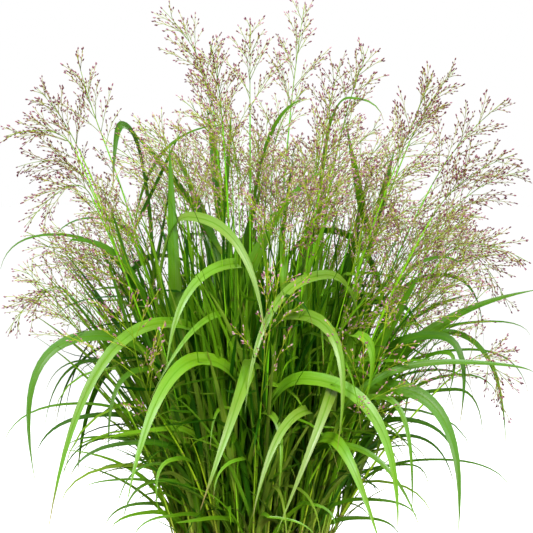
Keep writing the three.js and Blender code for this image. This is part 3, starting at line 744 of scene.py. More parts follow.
class Bend:
    # A quadratic Bezier curve from three points, in millimetres.
    def __init__(self, start, middle, end):
        self.knots = [np.array(p, float) for p in (start, middle, end)]

    def at(self, share):
        a, b, c = self.knots
        t = np.asarray(share, float)[..., None]
        return a * (1 - t) ** 2 + b * 2 * t * (1 - t) + c * t * t

    def heading(self, share):
        a, b, c = self.knots
        return unit((b - a) * (1 - share) + (c - b) * share)

    def length(self):
        return np.linalg.norm(np.diff(self.at(np.linspace(0, 1, 201)), axis=0), axis=1).sum()


# A stem from its foot in the soil, which leans little at first and more towards its neck.
def stemCurve(neck, across=crown["across"], deep=crown["deep"], footMost=math.inf):
    foot = [neck[0] * across, neck[1] * deep]
    inside = min(1.0, footMost / max(math.hypot(*foot), 1e-9))
    foot = (foot[0] * inside, foot[1] * inside, soilTop)
    lean = crown["lowLean"]
    return Bend(foot, mixed(foot, neck, (lean, lean, crown["lowRise"])), neck)


def shareAtHeight(curve, height):
    q = (height - soilTop) / (curve.knots[2][2] - soilTop)
    late, b = 1 - 2 * crown["lowRise"], crown["lowRise"]
    return (-b + math.sqrt(b * b + late * q)) / late


def leafCurves(root, leaf, shift=0):
    def firstBend(end, over):
        lean = mix(0.5, 0.15, over)
        return mixed(root, end, (lean, lean, mix(0.5, 1, over)))

    tip = np.array(leaf["tip"], float) + (0, 1.3 * shift, 0)
    if "crest" not in leaf:
        return [Bend(root, firstBend(tip, leaf["over"]), tip)]
    crest = np.array(leaf["crest"], float) + (0, shift, 0)
    fall = (mix(crest[0], tip[0], 0.85) + leaf["bow"], mix(crest[1], tip[1], 0.85), crest[2])
    return [Bend(root, firstBend(crest, 1), crest), Bend(crest, fall, tip)]


def bladeShare(along):
    opening = np.minimum(1, along / blade["rootShare"])
    return mix(blade["slimRoot"], 1, opening * (2 - opening)) * (1 - along ** blade["taper"])


def backLeaf(i):
    def within(name, number):
        return mix(*backGrowth[name], draw(i, number))

    count, swing, turn = backGrowth["leaves"], backGrowth["swing"], backGrowth["turn"]
    angle = math.radians(mix(*backGrowth["angle"], (i + 0.5) / count))
    reach, low, rootReach = within("reach", 1), within("low", 2), within("rootReach", 5)
    crestHeight = low + within("rise", 3)
    tipHeight = max(backGrowth["least"], crestHeight - within("drop", 6))
    return {
        "at": onRing(rootReach, angle, low),
        "crest": onRing(mix(rootReach, reach, 0.5), angle, crestHeight),
        "tip": onRing(reach, angle + mix(-swing, swing, draw(i, 4)), tipHeight),
        "width": within("width", 7),
        "bow": 0,
        "turn": mix(-turn, turn, draw(i, 8)),
    }


def leafList():
    leaves = [dict(zip(("at", "crest", "tip", "width", "bow"), row)) for row in archingLeaves]
    leaves += [dict(zip(("at", "tip", "width", "over"), row)) for row in risingLeaves]
    for leaf in leaves:
        x, y = leaf["tip"][0] - leaf["at"][0], leaf["tip"][1] - leaf["at"][1]
        turn = mix(*blade["turn"], abs(x) / math.hypot(x, y))
        leaf["turn"] = turn if x > 0 else -turn
    return leaves + [backLeaf(i) for i in range(backGrowth["leaves"])]


# The vertices of a CAD node, to see which of the rule's choices the solid holds.
def nodeTree(name):
    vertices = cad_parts[name].data.vertices
    tree = KDTree(len(vertices))
    for i, vertex in enumerate(vertices):
        tree.insert(vertex.co / mm, i)
    tree.balance()
    return tree


def holds(tree, point, within=0.3):
    return tree.find(Vector(point))[2] < within


allStems = floweringStems + lowStems
stemNames = [f"stem_{i + 1:02d}" for i in range(len(allStems))]
headNames = [f"panicle_{i + 1:02d}" for i in range(len(floweringStems))]
stems = [stemCurve(neck) for neck, _ in allStems]
stemTrees = [nodeTree(name) for name in stemNames]
headTrees = [nodeTree(name) for name in headNames]


# The stem that a leaf grows on and its curves, as the solids hold them.
def placedLeaf(leaf):
    at = np.array(leaf["at"], float)
    reached = []
    for i, curve in enumerate(stems):
        if at[2] <= curve.knots[2][2] - 5:
            point = curve.at(shareAtHeight(curve, at[2]))
            reached.append((np.linalg.norm(point - at), i, point))
    for _, i, point in sorted(reached, key=lambda item: item[0])[:3]:
        for shift in leafShifts:
            curves = leafCurves(point, leaf, shift)
            if holds(stemTrees[i], curves[-1].knots[2]):
                return i, curves
    return None


# Foliage

leafDetail = {
    "least": 0.22, "waver": 7, "broadFrom": 13, "fuller": 1.16, "highCrest": 765, "highArch": 1.55,
    "steps": 24, "innerSteps": 13, "innerTurn": (20, 65),
}


def addBlade(strands, curves, leaf, tone, sheen, seed, steps=leafDetail["steps"]):
    lengths = [curve.length() for curve in curves]
    whole = sum(lengths)
    heading = unit((curves[-1].knots[2] - curves[0].knots[0]) * (1, 1, 0))
    points, sideways, alongs = [], [], []
    before = 0
    for part, curve in enumerate(curves):
        count = max(5, round(steps * lengths[part] / whole))
        for i in range(1 if part else 0, count + 1):
            share = i / count
            tangent = curve.heading(share)
            along = (before + lengths[part] * share) / whole
            level = levelNormal(tangent * (1, 1, 0) + heading * blade["headingShare"])
            over = np.cross(tangent, level)
            turn = math.radians(leaf["turn"] + leafDetail["waver"] * math.sin(seed * 40 + along * 9))
            points.append(curve.at(share))
            sideways.append(unit(level * math.cos(turn) + over * math.sin(turn)))
            alongs.append(along)
        before += lengths[part]
    alongs = np.array(alongs)
    fuller = leafDetail["fuller"] if leaf["width"] > leafDetail["broadFrom"] else 1
    if leaf.get("crest", (0, 0, 0))[2] > leafDetail["highCrest"] and leaf["tip"][0] < 0:
        fuller = leafDetail["highArch"]
    half = np.maximum(fuller * leaf["width"] / 2 * bladeShare(alongs), leafDetail["least"])
    strands.line(points, np.array(sideways), halfWidth=half, along=alongs, tone=tone,
                 sheen=sheen, seed=seed, isBlade=1.0)


culmDetail = {
    "joints": (0.07, 0.2, 0.36, 0.55, 0.76), "stray": 0.03, "swell": 0.3, "swellTo": 0.0045,
    "rings": (-0.008, -0.003, 0.003, 0.008), "points": 14, "slimness": 0.8,
    "innerPoints": 8, "innerSlimness": 0.5,
}


def addCulm(strands, curve, seed, thickness, count):
    joints = [joint + culmDetail["stray"] * (draw(int(seed * 997), k) - 0.5)
              for k, joint in enumerate(culmDetail["joints"])]
    rings = [joint + ring for joint in joints for ring in culmDetail["rings"]]
    shares = np.array(sorted([*np.linspace(0, 1, count), *rings]))
    nearJoint = np.array([min(abs(share - joint) for joint in joints) for share in shares])
    mark = (nearJoint < culmDetail["swellTo"]).astype(float)
    radii = mix(culm["footRadius"], culm["neckRadius"], shares) * (1 + culmDetail["swell"] * mark)
    points = [*curve.at(shares)]
    points = [points[0] - curve.heading(0) * culm["buried"], *points]
    radii = np.array([radii[0], *radii]) * thickness
    strands.line(points, halfWidth=radii, along=np.array([0, *shares]), seed=seed,
                 joint=np.array([0, *mark]))


def addInnerCulm(strands, curve, seed):
    addCulm(strands, curve, seed, culmDetail["innerSlimness"], culmDetail["innerPoints"])


def finishPiece(piece, slotName, *nodes):
    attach(piece, "root")
    if nodes:
        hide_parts(*nodes)


def makeFoliage(name, strands, *nodes, sides=(8, 7)):
    piece = grown(name, strands.mesh(name), foliage, {
        "Blade sides": sides[0], "Culm sides": sides[1],
        "Culm finish": culmSkin, "Blade finish": leafSkin})
    finishPiece(piece, "leaf", *nodes)


# How light and how glossy a leaf of the solids is: more so at the front, less at the sides. The
# lightness is painted light and shade, with a random spread.
leafToneAndPaintedLight = {
    "tone": 0.17, "front": 0.49, "side": -0.6, "perWidth": 0.013, "least": 0.24, "spread": 0.16,
    "frontAt": 220, "sideAt": 300,
}


def paintedLightAndSheenOf(leaf, i):
    frontness = between(0.0, -leaf["tip"][1] / leafToneAndPaintedLight["frontAt"], 1.0)
    sideness = min(1.0, abs(leaf["tip"][0]) / leafToneAndPaintedLight["sideAt"])
    # Painted light: lighter at the front and for wide leaves, darker at the sides, with a random spread.
    tone = leafToneAndPaintedLight["tone"] + leafToneAndPaintedLight["front"] * frontness + leafToneAndPaintedLight["side"] * sideness
    tone = max(leafToneAndPaintedLight["least"], tone + leafToneAndPaintedLight["perWidth"] * leaf["width"])
    tone += leafToneAndPaintedLight["spread"] * (draw(i, 31) - 0.5)
    sheen = (0.3 + 0.7 * frontness) * min(1.0, 0.45 + leaf["width"] / 30) * (1 - 0.5 * sideness)
    return tone, sheen


stemStrands = [Strands() for _ in stems]
for i, curve in enumerate(stems):
    addCulm(stemStrands[i], curve, draw(i, 21), culmDetail["slimness"], culmDetail["points"])
found = 0
for i, leaf in enumerate(leafList()):
    placed = placedLeaf(leaf)
    if placed:
        addBlade(stemStrands[placed[0]], placed[1], leaf, *paintedLightAndSheenOf(leaf, i), draw(i, 32))
        found += 1
    else:
        print("leaf", i, "isn't in the solids")
for i, strands in enumerate(stemStrands):
    makeFoliage(f"foliage{i + 1:02d}", strands, stemNames[i])
print("stems and", found, "leaves made")


# Seed heads

headDetail = {
    "stalkPoints": 14,
    "stalkRadius": (0.85, 0.4),
    "branchRadius": (0.52, 0.33),
    "branchLean": (20, 36),
    "bareShare": 0.2,
    "bareVaries": (0.7, 1.3),
    "twigGap": 6.8,
    "gapVaries": (0.75, 1.3),
    "twigShare": 0.36,
    "twigVaries": (0.65, 1.15),
    "twigLeast": 4.0,
    "twigFrom": 8,
    "twigMost": 26,
    "twigRadius": 0.29,
    "twigLean": (18, 34),
    "twigStray": (-0.5, 0.5),
    "huskGap": 5.9,
    "huskVaries": (-0.25, 0.25),
    "huskLean": (16, 36),
    "huskStray": (-0.6, 0.6),
    "husk": (3.5, 4.8),
    "huskTone": (-0.34, 0.34),
    "pedicel": (1.8, 3.6),
    "pedicelRadius": 0.25,
}
# Kinds of heads: how many branches are added, how full of twigs and how long they are, how many
# stand below the neck, how much less purple the head is and how far it spreads
headKinds = {
    "tall": {"extra": 8, "fullness": 0.95, "reach": 0.6, "below": 3, "paler": -0.06, "spread": 1.0},
    "low": {"extra": 7, "fullness": 0.6, "reach": 0.8, "below": 0, "paler": 0.22, "spread": 1.2},
    "inner": {"extra": 10, "fullness": 0.78, "reach": 0.65, "below": 1, "paler": 0.12, "spread": 1.0},
    "side": {"extra": 9, "fullness": 0.75, "reach": 0.65, "below": 1, "paler": 0.16, "spread": 1.2},
}
boxLow = np.array(cadBox[0]) / mm - (14, 12, 0)
boxHigh = np.array(cadBox[1]) / mm + (14, 12, 18)


def inBox(point):
    return bool((point > boxLow).all() and (point < boxHigh).all())


def around(direction, angle):
    helper = np.array([0, 0, 1.0]) if abs(direction[2]) < 0.9 else np.array([1.0, 0, 0])
    first = unit(np.cross(direction, helper))
    return first * math.cos(angle) + np.cross(direction, first) * math.sin(angle)


def leaning(along, out, lean):
    return along * math.cos(lean) + out * math.sin(lean)


# How purple a head is: more so high up and far out.
def purpleAt(point):
    height = between(0.0, (point[2] - 470) / 330, 1.0)
    outward = min(1.0, math.hypot(point[0] / 380, point[1] / 330))
    return min(1.0, 0.30 + 0.22 * height + 0.36 * outward ** 2)


class SeedHead:
    # One seed head along its stalk's curve, of a kind and with its own draws.
    def __init__(self, strands, chance, stalk, kind):
        self.strands = strands
        self.chance = chance
        self.stalk = stalk
        self.kind = headKinds[kind]
        self.purple = purpleAt(stalk.at(0.8)) - self.kind["paler"]

    def within(self, name):
        return self.chance.uniform(*headDetail[name])

    def anyTurn(self):
        return self.chance.uniform(0, 2 * math.pi)

    def husk(self, end, aim, sunk=0.2):
        size = self.within("husk")
        tone = between(0.0, self.purple + self.within("huskTone"), 1.0)
        self.strands.husk(end - aim * sunk, aim, size=size, tone=tone, seed=self.chance.uniform())

    # A short stalk off a twig with its spikelet.
    def pedicel(self, start, direction):
        end = start + direction * self.within("pedicel")
        if inBox(end):
            self.strands.line([start, end], halfWidth=headDetail["pedicelRadius"], along=0.9,
                              tone=self.purple)
            self.husk(end, direction)

    def twig(self, start, direction, length):
        end = start + direction * length
        if not inBox(end):
            return
        curve = Bend(start, start + direction * (0.5 * length) + (0, 0, 0.03 * length), end)
        self.strands.line(curve.at(np.linspace(0, 1, 3)), halfWidth=headDetail["twigRadius"],
                          along=0.6, tone=self.purple)
        turn = self.anyTurn()
        for k in range(int((length - 2) / headDetail["huskGap"])):
            share = (k + 0.8 + self.within("huskVaries")) * headDetail["huskGap"] / length
            ahead = curve.heading(share)
            lean = math.radians(self.within("huskLean"))
            out = around(ahead, turn + k * math.pi + self.within("huskStray"))
            self.pedicel(curve.at(share), leaning(ahead, out, lean))
        self.husk(end, direction)

    def branch(self, *knots):
        curve = Bend(*knots)
        length = curve.length()
        shares = np.linspace(0, 1, max(3, int(length / 9)))
        self.strands.line(curve.at(shares), halfWidth=mix(*headDetail["branchRadius"], shares),
                          along=0.25 + 0.5 * shares, tone=self.purple)
        reach = headDetail["bareShare"] * length * self.within("bareVaries")
        turn = self.anyTurn()
        while reach < length - 3:
            start, ahead = curve.at(reach / length), curve.heading(reach / length)
            lean = math.radians(self.within("twigLean"))
            turn += 2.4 + self.within("twigStray")
            direction = unit(leaning(ahead, around(ahead, turn), lean))
            twig = headDetail["twigShare"] * (length - reach) + headDetail["twigLeast"]
            twig *= self.within("twigVaries")
            if twig > headDetail["twigFrom"]:
                self.twig(start, direction, min(twig, headDetail["twigMost"]))
            else:
                self.pedicel(start, direction)
            reach += headDetail["twigGap"] * self.within("gapVaries") / self.kind["fullness"]
        self.husk(curve.knots[2], curve.heading(1))

    # The solids' own branches, then more of them, of which some stand on the stem.
    def grow(self, stem, ownBranches=()):
        stalk, kind = self.stalk, self.kind
        shares = np.linspace(0, 1, headDetail["stalkPoints"])
        self.strands.line(stalk.at(shares), halfWidth=mix(*headDetail["stalkRadius"], shares),
                          along=0.45 * shares, tone=0.3 * self.purple)
        self.husk(stalk.at(1.0), stalk.heading(1), 0)
        for start, end, along in ownBranches:
            lift = along * np.linalg.norm(end - start) * 0.06
            self.branch(start, (start + end) / 2 + lift, end)
        turn, whole = self.anyTurn(), stalk.length()
        for k in range(-kind["below"], kind["extra"]):
            if k < 0:
                carrier, share = stem, 1 + 0.09 * (k + self.chance.uniform(0, 0.8))
                room = 0.95
            else:
                carrier = stalk
                share = mix(0.02, 0.95, (k + self.chance.uniform(0.1, 0.9)) / kind["extra"])
                room = 1 - share
            along = carrier.heading(share)
            turn += 2.4
            out = around(along, turn)
            length = (kind["reach"] * whole * room ** 0.85 + 11) * self.chance.uniform(0.75, 1.2)
            lean = math.radians(self.within("branchLean") + 10 * room) * kind["spread"]
            start = carrier.at(share)
            end = start + leaning(along, out, lean) * length + (0, 0, -0.08 * length)
            if inBox(end):
                self.branch(start, start + leaning(along, out, lean * 0.8) * 0.55 * length, end)


# The branches of a head as the solids hold them: start, end and the stalk's direction.
def solidBranches(i, curve, tree, count):
    made = []
    side = levelNormal(curve.knots[2] - curve.knots[0])
    lean = math.radians(head["spread"])
    for number in range(count):
        share = mix(head["firstBranch"], head["lastBranch"], number / (count - 1))
        step = math.floor(share * head["steps"])
        low, high = curve.at(step / head["steps"]), curve.at((step + 1) / head["steps"])
        start = mix(low, high, share * head["steps"] - step)
        along = unit(high - low)
        room = curve.length() * (1 - share) ** head["branchTaper"]
        length = head["branchShare"] * room + head["branchLeast"]
        other = unit(np.cross(along, side))
        for extra in branchTurns:
            turn = math.radians(number * head["spiral"] + i * head["turnPerHead"] + extra)
            end = start + along * length * math.cos(lean) * (1 + head["upturn"])
            end = end + leaning(side, other, turn) * length * math.sin(lean)
            if holds(tree, end):
                made.append((start, end, along))
                break
    return made


def stalkCurve(stem, tip, gap=0.0):
    leaving = stem.heading(1)
    neck = stem.knots[2] + leaving * gap
    end = np.array(tip, float)
    return Bend(neck, neck + leaving * 0.5 * np.linalg.norm(end - neck), end)


def makeHead(name, strands, *nodes, rings=3):
    piece = grown(name, strands.mesh(name), seedHeads, {
        "Husk rings": rings, "Twig finish": twigSkin, "Husk finish": huskSkin})
    finishPiece(piece, "seed_head", *nodes)


branchCount = 0
lowHeads = Strands()
for i, (neck, tip) in enumerate(allStems):
    chance = np.random.default_rng(100 + i)
    if i < len(floweringStems):
        strands = Strands()
        curve = stalkCurve(stems[i], tip, 0.3)
        own = solidBranches(i, curve, headTrees[i], head["branches"])
        SeedHead(strands, chance, curve, "tall").grow(stems[i], own)
        makeHead(f"seedHead{i + 1:02d}", strands, headNames[i])
    else:
        curve = stalkCurve(stems[i], tip, -2)
        own = solidBranches(i, curve, stemTrees[i], head["lowBranches"])
        SeedHead(lowHeads, chance, curve, "low").grow(stems[i], own)
    branchCount += len(own)
makeHead("lowHeads", lowHeads)
print("seed heads made, with", branchCount, "branches of the solids")


# The rest of the clump: more culms, leaves and seed heads than the solids hold

fill = {
    "headPieces": 4,
    "leafPieces": 5,
    "foot": (0.48, 0.54, 96),
    "openLeft": 20,
    "openFront": -90,
    "stalk": 125,
    "stalkVaries": (0.8, 1.25),
    "sideHeads": 26,
    "sideVaries": (0.7, 1.1),
    "sideLow": (100, -95, 455),
    "sideHigh": (245, 95, 620),
    "mirrorEach": 5,
    "mirror": -0.9,
    "leafLeast": 205,
    "leafTop": 690,
}
culmGroups = [
    {"count": 62, "reach": (205, 165), "height": 695, "drop": 155, "flowers": True},
    {"count": 58, "reach": (190, 165), "height": 520, "drop": 140, "flowers": False},
]
# Kinds of inner leaves, in the order in which they grow on a culm. Those with a crest hang over.
arching = {
    "count": 2, "from": 0, "share": (0.04, 0.6), "swing": 1.2, "length": (170, 330),
    "level": (0.18, 0.62), "crestAt": 0.6, "tipAt": 1.35, "dip": (-0.25, 0.7), "top": 580,
    "width": (6.0, 12.0),
}
upright = {"from": 0, "swing": 1.3, "leanOut": (0.5, 0.7), "bend": (0.5, 1.0), "width": (4.2, 9.0)}
skirt = {
    "count": 1, "from": 0.6, "share": (0.0, 0.10), "swing": 0.5, "length": (90, 220),
    "lean": (22, 60), "leanOut": (1, 0), "crestAt": 0.62, "tipAt": 1.2, "dip": (0.1, 0.6),
    "top": math.inf, "width": (6.0, 10.0),
}
innerLeafKinds = [
    arching,
    {**upright, "count": 6, "share": (0.02, 0.5), "length": (200, 380), "lean": (4, 34), "over": 0.5},
    {**upright, "count": 1, "share": (0.3, 0.75), "length": (170, 320), "lean": (3, 26), "over": 0.4},
    {**upright, "count": 2, "share": (0.0, 0.12), "length": (110, 235), "lean": (20, 50), "over": 1.0},
    skirt,
]
# Inner leaves: a random tone, lighter further out and low near the edge as painted light, and their
# gloss.
innerToneAndPaintedLight = {"tone": 0.64, "outer": 0.22, "low": 0.16, "lowTo": 150, "sheen": 0.3}
# Leaves that stand before the seed heads: near where each leaves its stem, its tip and width
frontLeaves = [
    ((-118, -90, 440), (-104, -115, 745), 18),
    ((-150, -60, 400), (-205, -80, 640), 12),
    ((-60, -80, 430), (-20, -110, 660), 10),
    ((75, -80, 430), (120, -120, 680), 10),
]
# Their low tone paints them darker: painted shade.
frontShape = {"over": 0.2, "turn": 15, "rootShare": 0.6, "tone": 0.3, "sheen": 0.4}


def fillNeck(chance, i, group):
    outward = math.sqrt((i + 0.5) / group["count"])
    angle = i * 2.39996 + chance.uniform(-0.2, 0.2)
    wide, deep = group["reach"]
    x, y = wide * outward * math.cos(angle), deep * outward * math.sin(angle)
    z = group["height"] - group["drop"] * outward ** 2 + chance.uniform(-60, 40)
    return np.array([x + 12, y, z]), angle, outward


def away(swing, level, rise):
    return np.array(onRing(level, swing, rise))


# A leaf of a kind on an inner culm, if it ends inside the box.
def addInnerLeaf(strands, chance, curve, angle, outward, kind):
    def within(name):
        return chance.uniform(*kind[name])

    share = within("share")
    root = curve.at(share)
    swing = angle + chance.uniform(-kind["swing"], kind["swing"])
    length = within("length")
    if "level" in kind:
        length *= 1 - 0.25 * share
        level = within("level") * length
        rise = 0.8 * math.sqrt(length * length - level * level)
    else:
        least, more = kind["leanOut"]
        lean = math.radians(within("lean") * (least + more * outward))
        level, rise = length * math.sin(lean), length * math.cos(lean)
    if "dip" in kind:
        dip = within("dip") * level
        crest, tip = (kind["crestAt"] * level, rise), (kind["tipAt"] * level, rise - dip)
        leaf = {"crest": root + away(swing, *crest), "tip": root + away(swing, *tip), "bow": 0}
        if leaf["crest"][2] > kind["top"]:
            return
    else:
        leaf = {"tip": root + away(swing, level, rise), "over": within("bend") * kind["over"]}
    leaf["width"] = within("width")
    leaf["turn"] = chance.choice([-1, 1]) * chance.uniform(*leafDetail["innerTurn"])
    # Painted light and shade: a random tone, lighter for leaves further out and for low ones near the
    # edge.
    share = chance.uniform()
    tone = (innerToneAndPaintedLight["tone"] + innerToneAndPaintedLight["outer"] * outward) * share * share * (3 - 2 * share)
    lowness = max(0.0, 1 - (root[2] - soilTop) / innerToneAndPaintedLight["lowTo"])
    tone += innerToneAndPaintedLight["low"] * outward * lowness
    seed = chance.uniform()
    ends = [leaf["tip"], leaf.get("crest", leaf["tip"])]
    if all(inBox(end) for end in ends) and fill["leafLeast"] < leaf["tip"][2] < fill["leafTop"]:
        sheen = innerToneAndPaintedLight["sheen"] * outward * seed
        addBlade(strands, leafCurves(root, leaf), leaf, tone, sheen, seed, leafDetail["innerSteps"])


# Culms with their leaves. A group that flowers has a seed head on each, but for the open front.
def addInnerCulms(chance, group):
    for i in range(group["count"]):
        neck, angle, outward = fillNeck(chance, i, group)
        stem, leaves = stemCurve(neck, *fill["foot"]), fillLeaves[i % len(fillLeaves)]
        addInnerCulm(leaves, stem, chance.uniform())
        if group["flowers"]:
            stalk = fill["stalk"] * chance.uniform(*fill["stalkVaries"])
            lean = 0.35 + 0.5 * outward
            curve = stalkCurve(stem, neck + away(angle, lean, 1.0 - 0.35 * lean) * stalk)
            if neck[0] > fill["openLeft"] or neck[1] > fill["openFront"]:
                SeedHead(fillHeads[i % len(fillHeads)], chance, curve, "inner").grow(stem)
        for kind in innerLeafKinds:
            for _ in range(kind["count"] if outward > kind["from"] else 0):
                addInnerLeaf(leaves, chance, stem, angle, outward, kind)


def addSideHead(chance, i):
    neck = mix(np.array(fill["sideLow"]), np.array(fill["sideHigh"]), chance.uniform(size=3))
    neck[0] *= 1 if i % fill["mirrorEach"] else fill["mirror"]
    stem = stemCurve(neck, *fill["foot"])
    addInnerCulm(fillLeaves[i % len(fillLeaves)], stem, chance.uniform())
    swing = math.atan2(neck[1], neck[0]) + chance.uniform(-0.3, 0.3)
    tip = neck + away(swing, 0.7, 0.75) * fill["stalk"] * chance.uniform(*fill["sideVaries"])
    SeedHead(fillHeads[i % len(fillHeads)], chance, stalkCurve(stem, tip), "side").grow(stem)


def addFrontLeaves(strands):
    for i, (at, tip, width) in enumerate(frontLeaves):
        foot = np.array([at[0] * fill["foot"][0], at[1] * fill["foot"][1], soilTop])
        root = mix(foot, np.array(at, float), frontShape["rootShare"])
        leaf = {"tip": np.array(tip, float), "width": width, **frontShape}
        addBlade(strands, leafCurves(root, leaf), leaf, leaf["tone"], leaf["sheen"], draw(i, 41))


fillHeads = [Strands() for _ in range(fill["headPieces"])]
fillLeaves = [Strands() for _ in range(fill["leafPieces"])]
chance = np.random.default_rng(7)
for group in culmGroups:
    addInnerCulms(chance, group)
for i in range(fill["sideHeads"]):
    addSideHead(chance, i)
addFrontLeaves(fillLeaves[0])
for i, strands in enumerate(fillHeads):
    makeHead(f"innerHeads{i + 1}", strands, rings=2)
for i, strands in enumerate(fillLeaves):
    makeFoliage(f"innerLeaves{i + 1}", strands, sides=(4, 5))
print("inner heads and leaves made")


# Soil and pot

soilDetail = {"rings": 26, "spokes": 96, "relief": 2.4, "gap": 0.4}


# A closed mesh round the z axis, from its top centre outwards and down to a flat underside.
# Each row is a radius with a height, or with a rule that gives the height at x and y.
def turned(name, topHeight, rows, sides):
    points, faces = [(0, 0, topHeight)], []
    for radius, height in rows:
        for s in range(sides):
            x, y, _ = onRing(radius, 2 * math.pi * s / sides, 0)
            points.append((x, y, height(x, y) if callable(height) else height))
    for s in range(sides):
        after = (s + 1) % sides
        faces.append((0, 1 + s, 1 + after))
        for row in range(len(rows) - 1):
            a, b = 1 + row * sides, 1 + (row + 1) * sides
            faces.append((a + s, b + s, b + after, a + after))
    last = 1 + (len(rows) - 1) * sides
    faces.append(tuple(last + s for s in reversed(range(sides))))
    mesh = bpy.data.meshes.new(name)
    mesh.from_pydata(np.array(points) * mm, [], faces)
    return mesh


def innerWall(height):
    share = (height - pot["floorThickness"]) / (pot["height"] - pot["floorThickness"])
    return mix(pot["innerFootRadius"], pot["innerRimRadius"], share)


def soilHeight(x, y):
    waves = math.sin(x * 0.061 + 1.3) * math.cos(y * 0.073) + 0.6 * math.sin(x * 0.17 - y * 0.13)
    fine = 0.35 * math.sin(x * 0.41 + y * 0.53) + 0.25 * math.sin(y * 0.83 - x * 0.71)
    return soilTop + soilDetail["relief"] * 0.5 * (waves + fine)


def soilMesh():
    rings, gap = soilDetail["rings"], soilDetail["gap"]
    edge = innerWall(soilTop) - 2 * gap
    floor = pot["floorThickness"] + gap
    low = innerWall(floor + 4) - 2 * gap
    rows = [(edge * (k + 1) / rings, soilHeight) for k in range(rings)]
    rows += [(low, floor + 4), (low - 5, floor)]
    mesh = turned("pottingSoil", soilTop, rows, soilDetail["spokes"])
    mesh.shade_smooth()
    mesh.materials.append(earths["pottingMix"])
    return mesh


soilPiece = linked("pottingSoil", soilMesh())
finishPiece(soilPiece, "soil", "soil")
# Grains: density, smallest and largest radius, flatness and seed
grainKinds = {
    "soilCrumbs": (52000.0, 1.0, 2.6, 0.8, 11, "soilCrumb"),
    "barkChips": (3200.0, 2.2, 5.0, 0.35, 12, "barkChip"),
    "perliteGrains": (2600.0, 1.1, 2.3, 0.8, 13, "perlite"),
}
for name, (density, least, most, flatness, seed, earth) in grainKinds.items():
    finishPiece(grown(name, soilPiece.data.copy(), grains, {
        "Density": density, "Least": least * mm, "Most": most * mm,
        "Flatness": flatness, "Seed": seed, "Finish": earths[earth]}), "soil")
print("soil made")

potDetail = {"sides": 160, "groove": 0.6, "holeSides": 32, "smoothTo": 40}


# The outline of the pot's wall from its underside round to its inner floor.
def potProfile():
    rimFoot = pot["height"] - pot["rimHeight"]
    r, h, floor = pot["rimRadius"], pot["height"], pot["floorThickness"]
    outline = [(20, 1.2), (60, 0.8), (70, 0.0), (76, 0.0), (78.2, 0.9), (79, 3)]
    for k in range(1, 24):
        share = k / 24
        wave = math.sin(share * 41) * (0.4 + 0.6 * math.sin(share * 9) ** 2)
        radius = mix(pot["footRadius"], pot["wallTopRadius"] - 0.4, share)
        outline.append((radius + potDetail["groove"] * 0.5 * wave, mix(3, rimFoot - 3, share)))
    outline += [(109.8, rimFoot - 1), (110.4, rimFoot + 0.3), (112, rimFoot + 0.9),
                (r - 5.2, rimFoot + 1.0), (r - 4.1, rimFoot + 1.7), (r - 3.7, rimFoot + 3.2)]
    for k in range(1, 7):
        share = k / 7
        radius = mix(r - 3.7, r - 0.4, share) + 0.25 * math.sin(share * 12)
        outline.append((radius, mix(rimFoot + 3.2, h - 6, share)))
    outline += [(r, h - 4.6), (r - 0.3, h - 2.6), (r - 1.2, h - 1.1), (r - 2.8, h - 0.2), (r - 4.5, h),
                (113, h), (111.4, h - 0.4), (110.3, h - 1.3), (109.7, h - 3)]
    for k in range(1, 13):
        z = mix(h - 3, floor + 3, k / 12)
        outline.append((innerWall(z) - 0.25, z))
    return outline + [(70.2, floor + 1), (68.5, floor), (40, floor)]


def potWithHoles():
    rows = potProfile()[::-1]
    piece = linked("clayPot", turned("clayPot", pot["floorThickness"], rows, potDetail["sides"]))
    drills = []
    for i in range(pot["drainHoles"]):
        at = onRing(pot["drainRing"] * mm, (i + 0.5) / pot["drainHoles"] * 2 * math.pi, 0)
        bpy.ops.mesh.primitive_cylinder_add(
            vertices=potDetail["holeSides"], radius=pot["drainRadius"] * mm, depth=0.06, location=at)
        drills.append(bpy.context.object)
        cut = piece.modifiers.new("drain", "BOOLEAN")
        cut.object = drills[-1]
        cut.operation = "DIFFERENCE"
        cut.solver = "EXACT"
    piece.data = settled(piece, "clayPot")
    piece.data.shade_smooth()
    for drill in drills:
        bpy.data.objects.remove(drill)
    return piece


potPiece = potWithHoles()
potPiece.data.materials.clear()
potPiece.data.materials.append(clay)
bpy.context.view_layer.objects.active = potPiece
potPiece.select_set(True)
bpy.ops.object.shade_smooth_by_angle(angle=math.radians(potDetail["smoothTo"]))
finishPiece(potPiece, "clay", "pot")
print("pot made")


# Floor, light and camera

stageLook = {
    "floorHalf": 40, "floorSeen": 0.93, "bounce": 0.08, "backdrop": 1.0, "horizon": 0.12, "zenith": 1.55,
}
lamps = {
    "keyLamp": {"place": (-1.2, -2.6, 2.7), "target": (0, 0, 0.5), "size": 1.2, "power": 150},
    "sideLamp": {"place": (1.4, -2.9, 1.1), "target": (0, 0, 0.4), "size": 1.5, "power": 100},
    "backLamp": {"place": (0.5, 2.6, 2.6), "target": (0, 0, 0.5), "size": 1.5, "power": 85},
}
view = {"distance": 3.0, "elevation": 2.5, "target": (0.022, 0, 0.5803), "frameWidth": 0.7196}


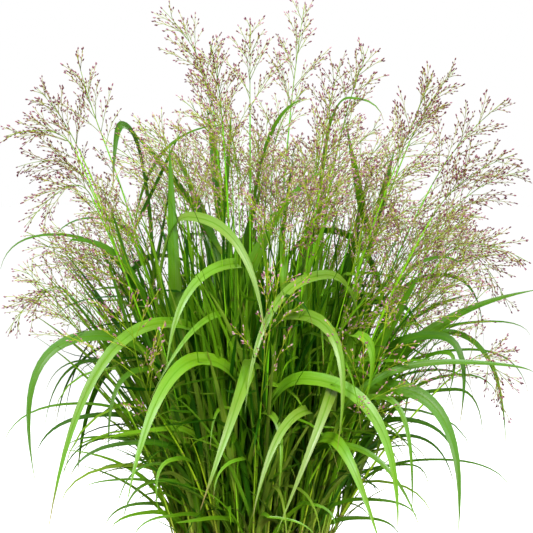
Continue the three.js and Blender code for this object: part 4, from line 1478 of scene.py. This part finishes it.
# Pale to the camera, but darker as a source of light.
def floorSurface(t, look):
    isCamera = t.add("ShaderNodeLightPath").out("Is Camera Ray")
    colour = t.layers((look["bounce"],) * 3, (isCamera, (look["floorSeen"],) * 3))
    return t.add("ShaderNodeBsdfPrincipled", {"Base Color": colour, "Roughness": 0.9})


def makeFloor():
    half = stageLook["floorHalf"]
    corners = [(-half, -half, 0), (half, -half, 0), (half, half, 0), (-half, half, 0)]
    mesh = bpy.data.meshes.new("floor")
    mesh.from_pydata(corners, [], [(0, 1, 2, 3)])
    mesh.materials.append(finish("paleFloor", floorSurface, stageLook))
    linked("floor", mesh)


def makeSky():
    world = bpy.data.worlds.new("softSky")
    world.use_nodes = True
    t = NodeTree(world.node_tree)
    height = t.split(t.add("ShaderNodeTexCoord").out("Generated"))[2]
    dome = t.smooth(height, 0.0, 1.0, stageLook["horizon"], stageLook["zenith"])
    isCamera = t.add("ShaderNodeLightPath").out("Is Camera Ray")
    strength = dome + (stageLook["backdrop"] - dome) * isCamera
    light = t.add("ShaderNodeBackground", {"Color": (1, 1, 1, 1), "Strength": strength})
    t.add("ShaderNodeOutputWorld", {"Surface": light})
    bpy.context.scene.world = world


def aimed(name, data, place, direction):
    holder = linked(name, data)
    holder.location = place
    holder.rotation_mode = "QUATERNION"
    holder.rotation_quaternion = direction.to_track_quat("-Z", "Y")
    return holder


def makeLamp(name, look):
    lamp = bpy.data.lights.new(name, "AREA")
    lamp.shape = "DISK"
    lamp.size = look["size"]
    lamp.energy = look["power"]
    aimed(name, lamp, look["place"], Vector(look["target"]) - Vector(look["place"]))


def makeCamera():
    lift = math.radians(view["elevation"])
    data = bpy.data.cameras.new("camera")
    data.lens = data.sensor_width * view["distance"] / view["frameWidth"]
    back = Vector((0, -math.cos(lift), math.sin(lift)))
    place = Vector(view["target"]) + back * view["distance"]
    bpy.context.scene.camera = aimed("camera", data, place, -back)


makeFloor()
makeSky()
for name, look in lamps.items():
    makeLamp(name, look)
makeCamera()
bpy.context.scene.view_settings.view_transform = "Standard"
print("stage, light and camera made")
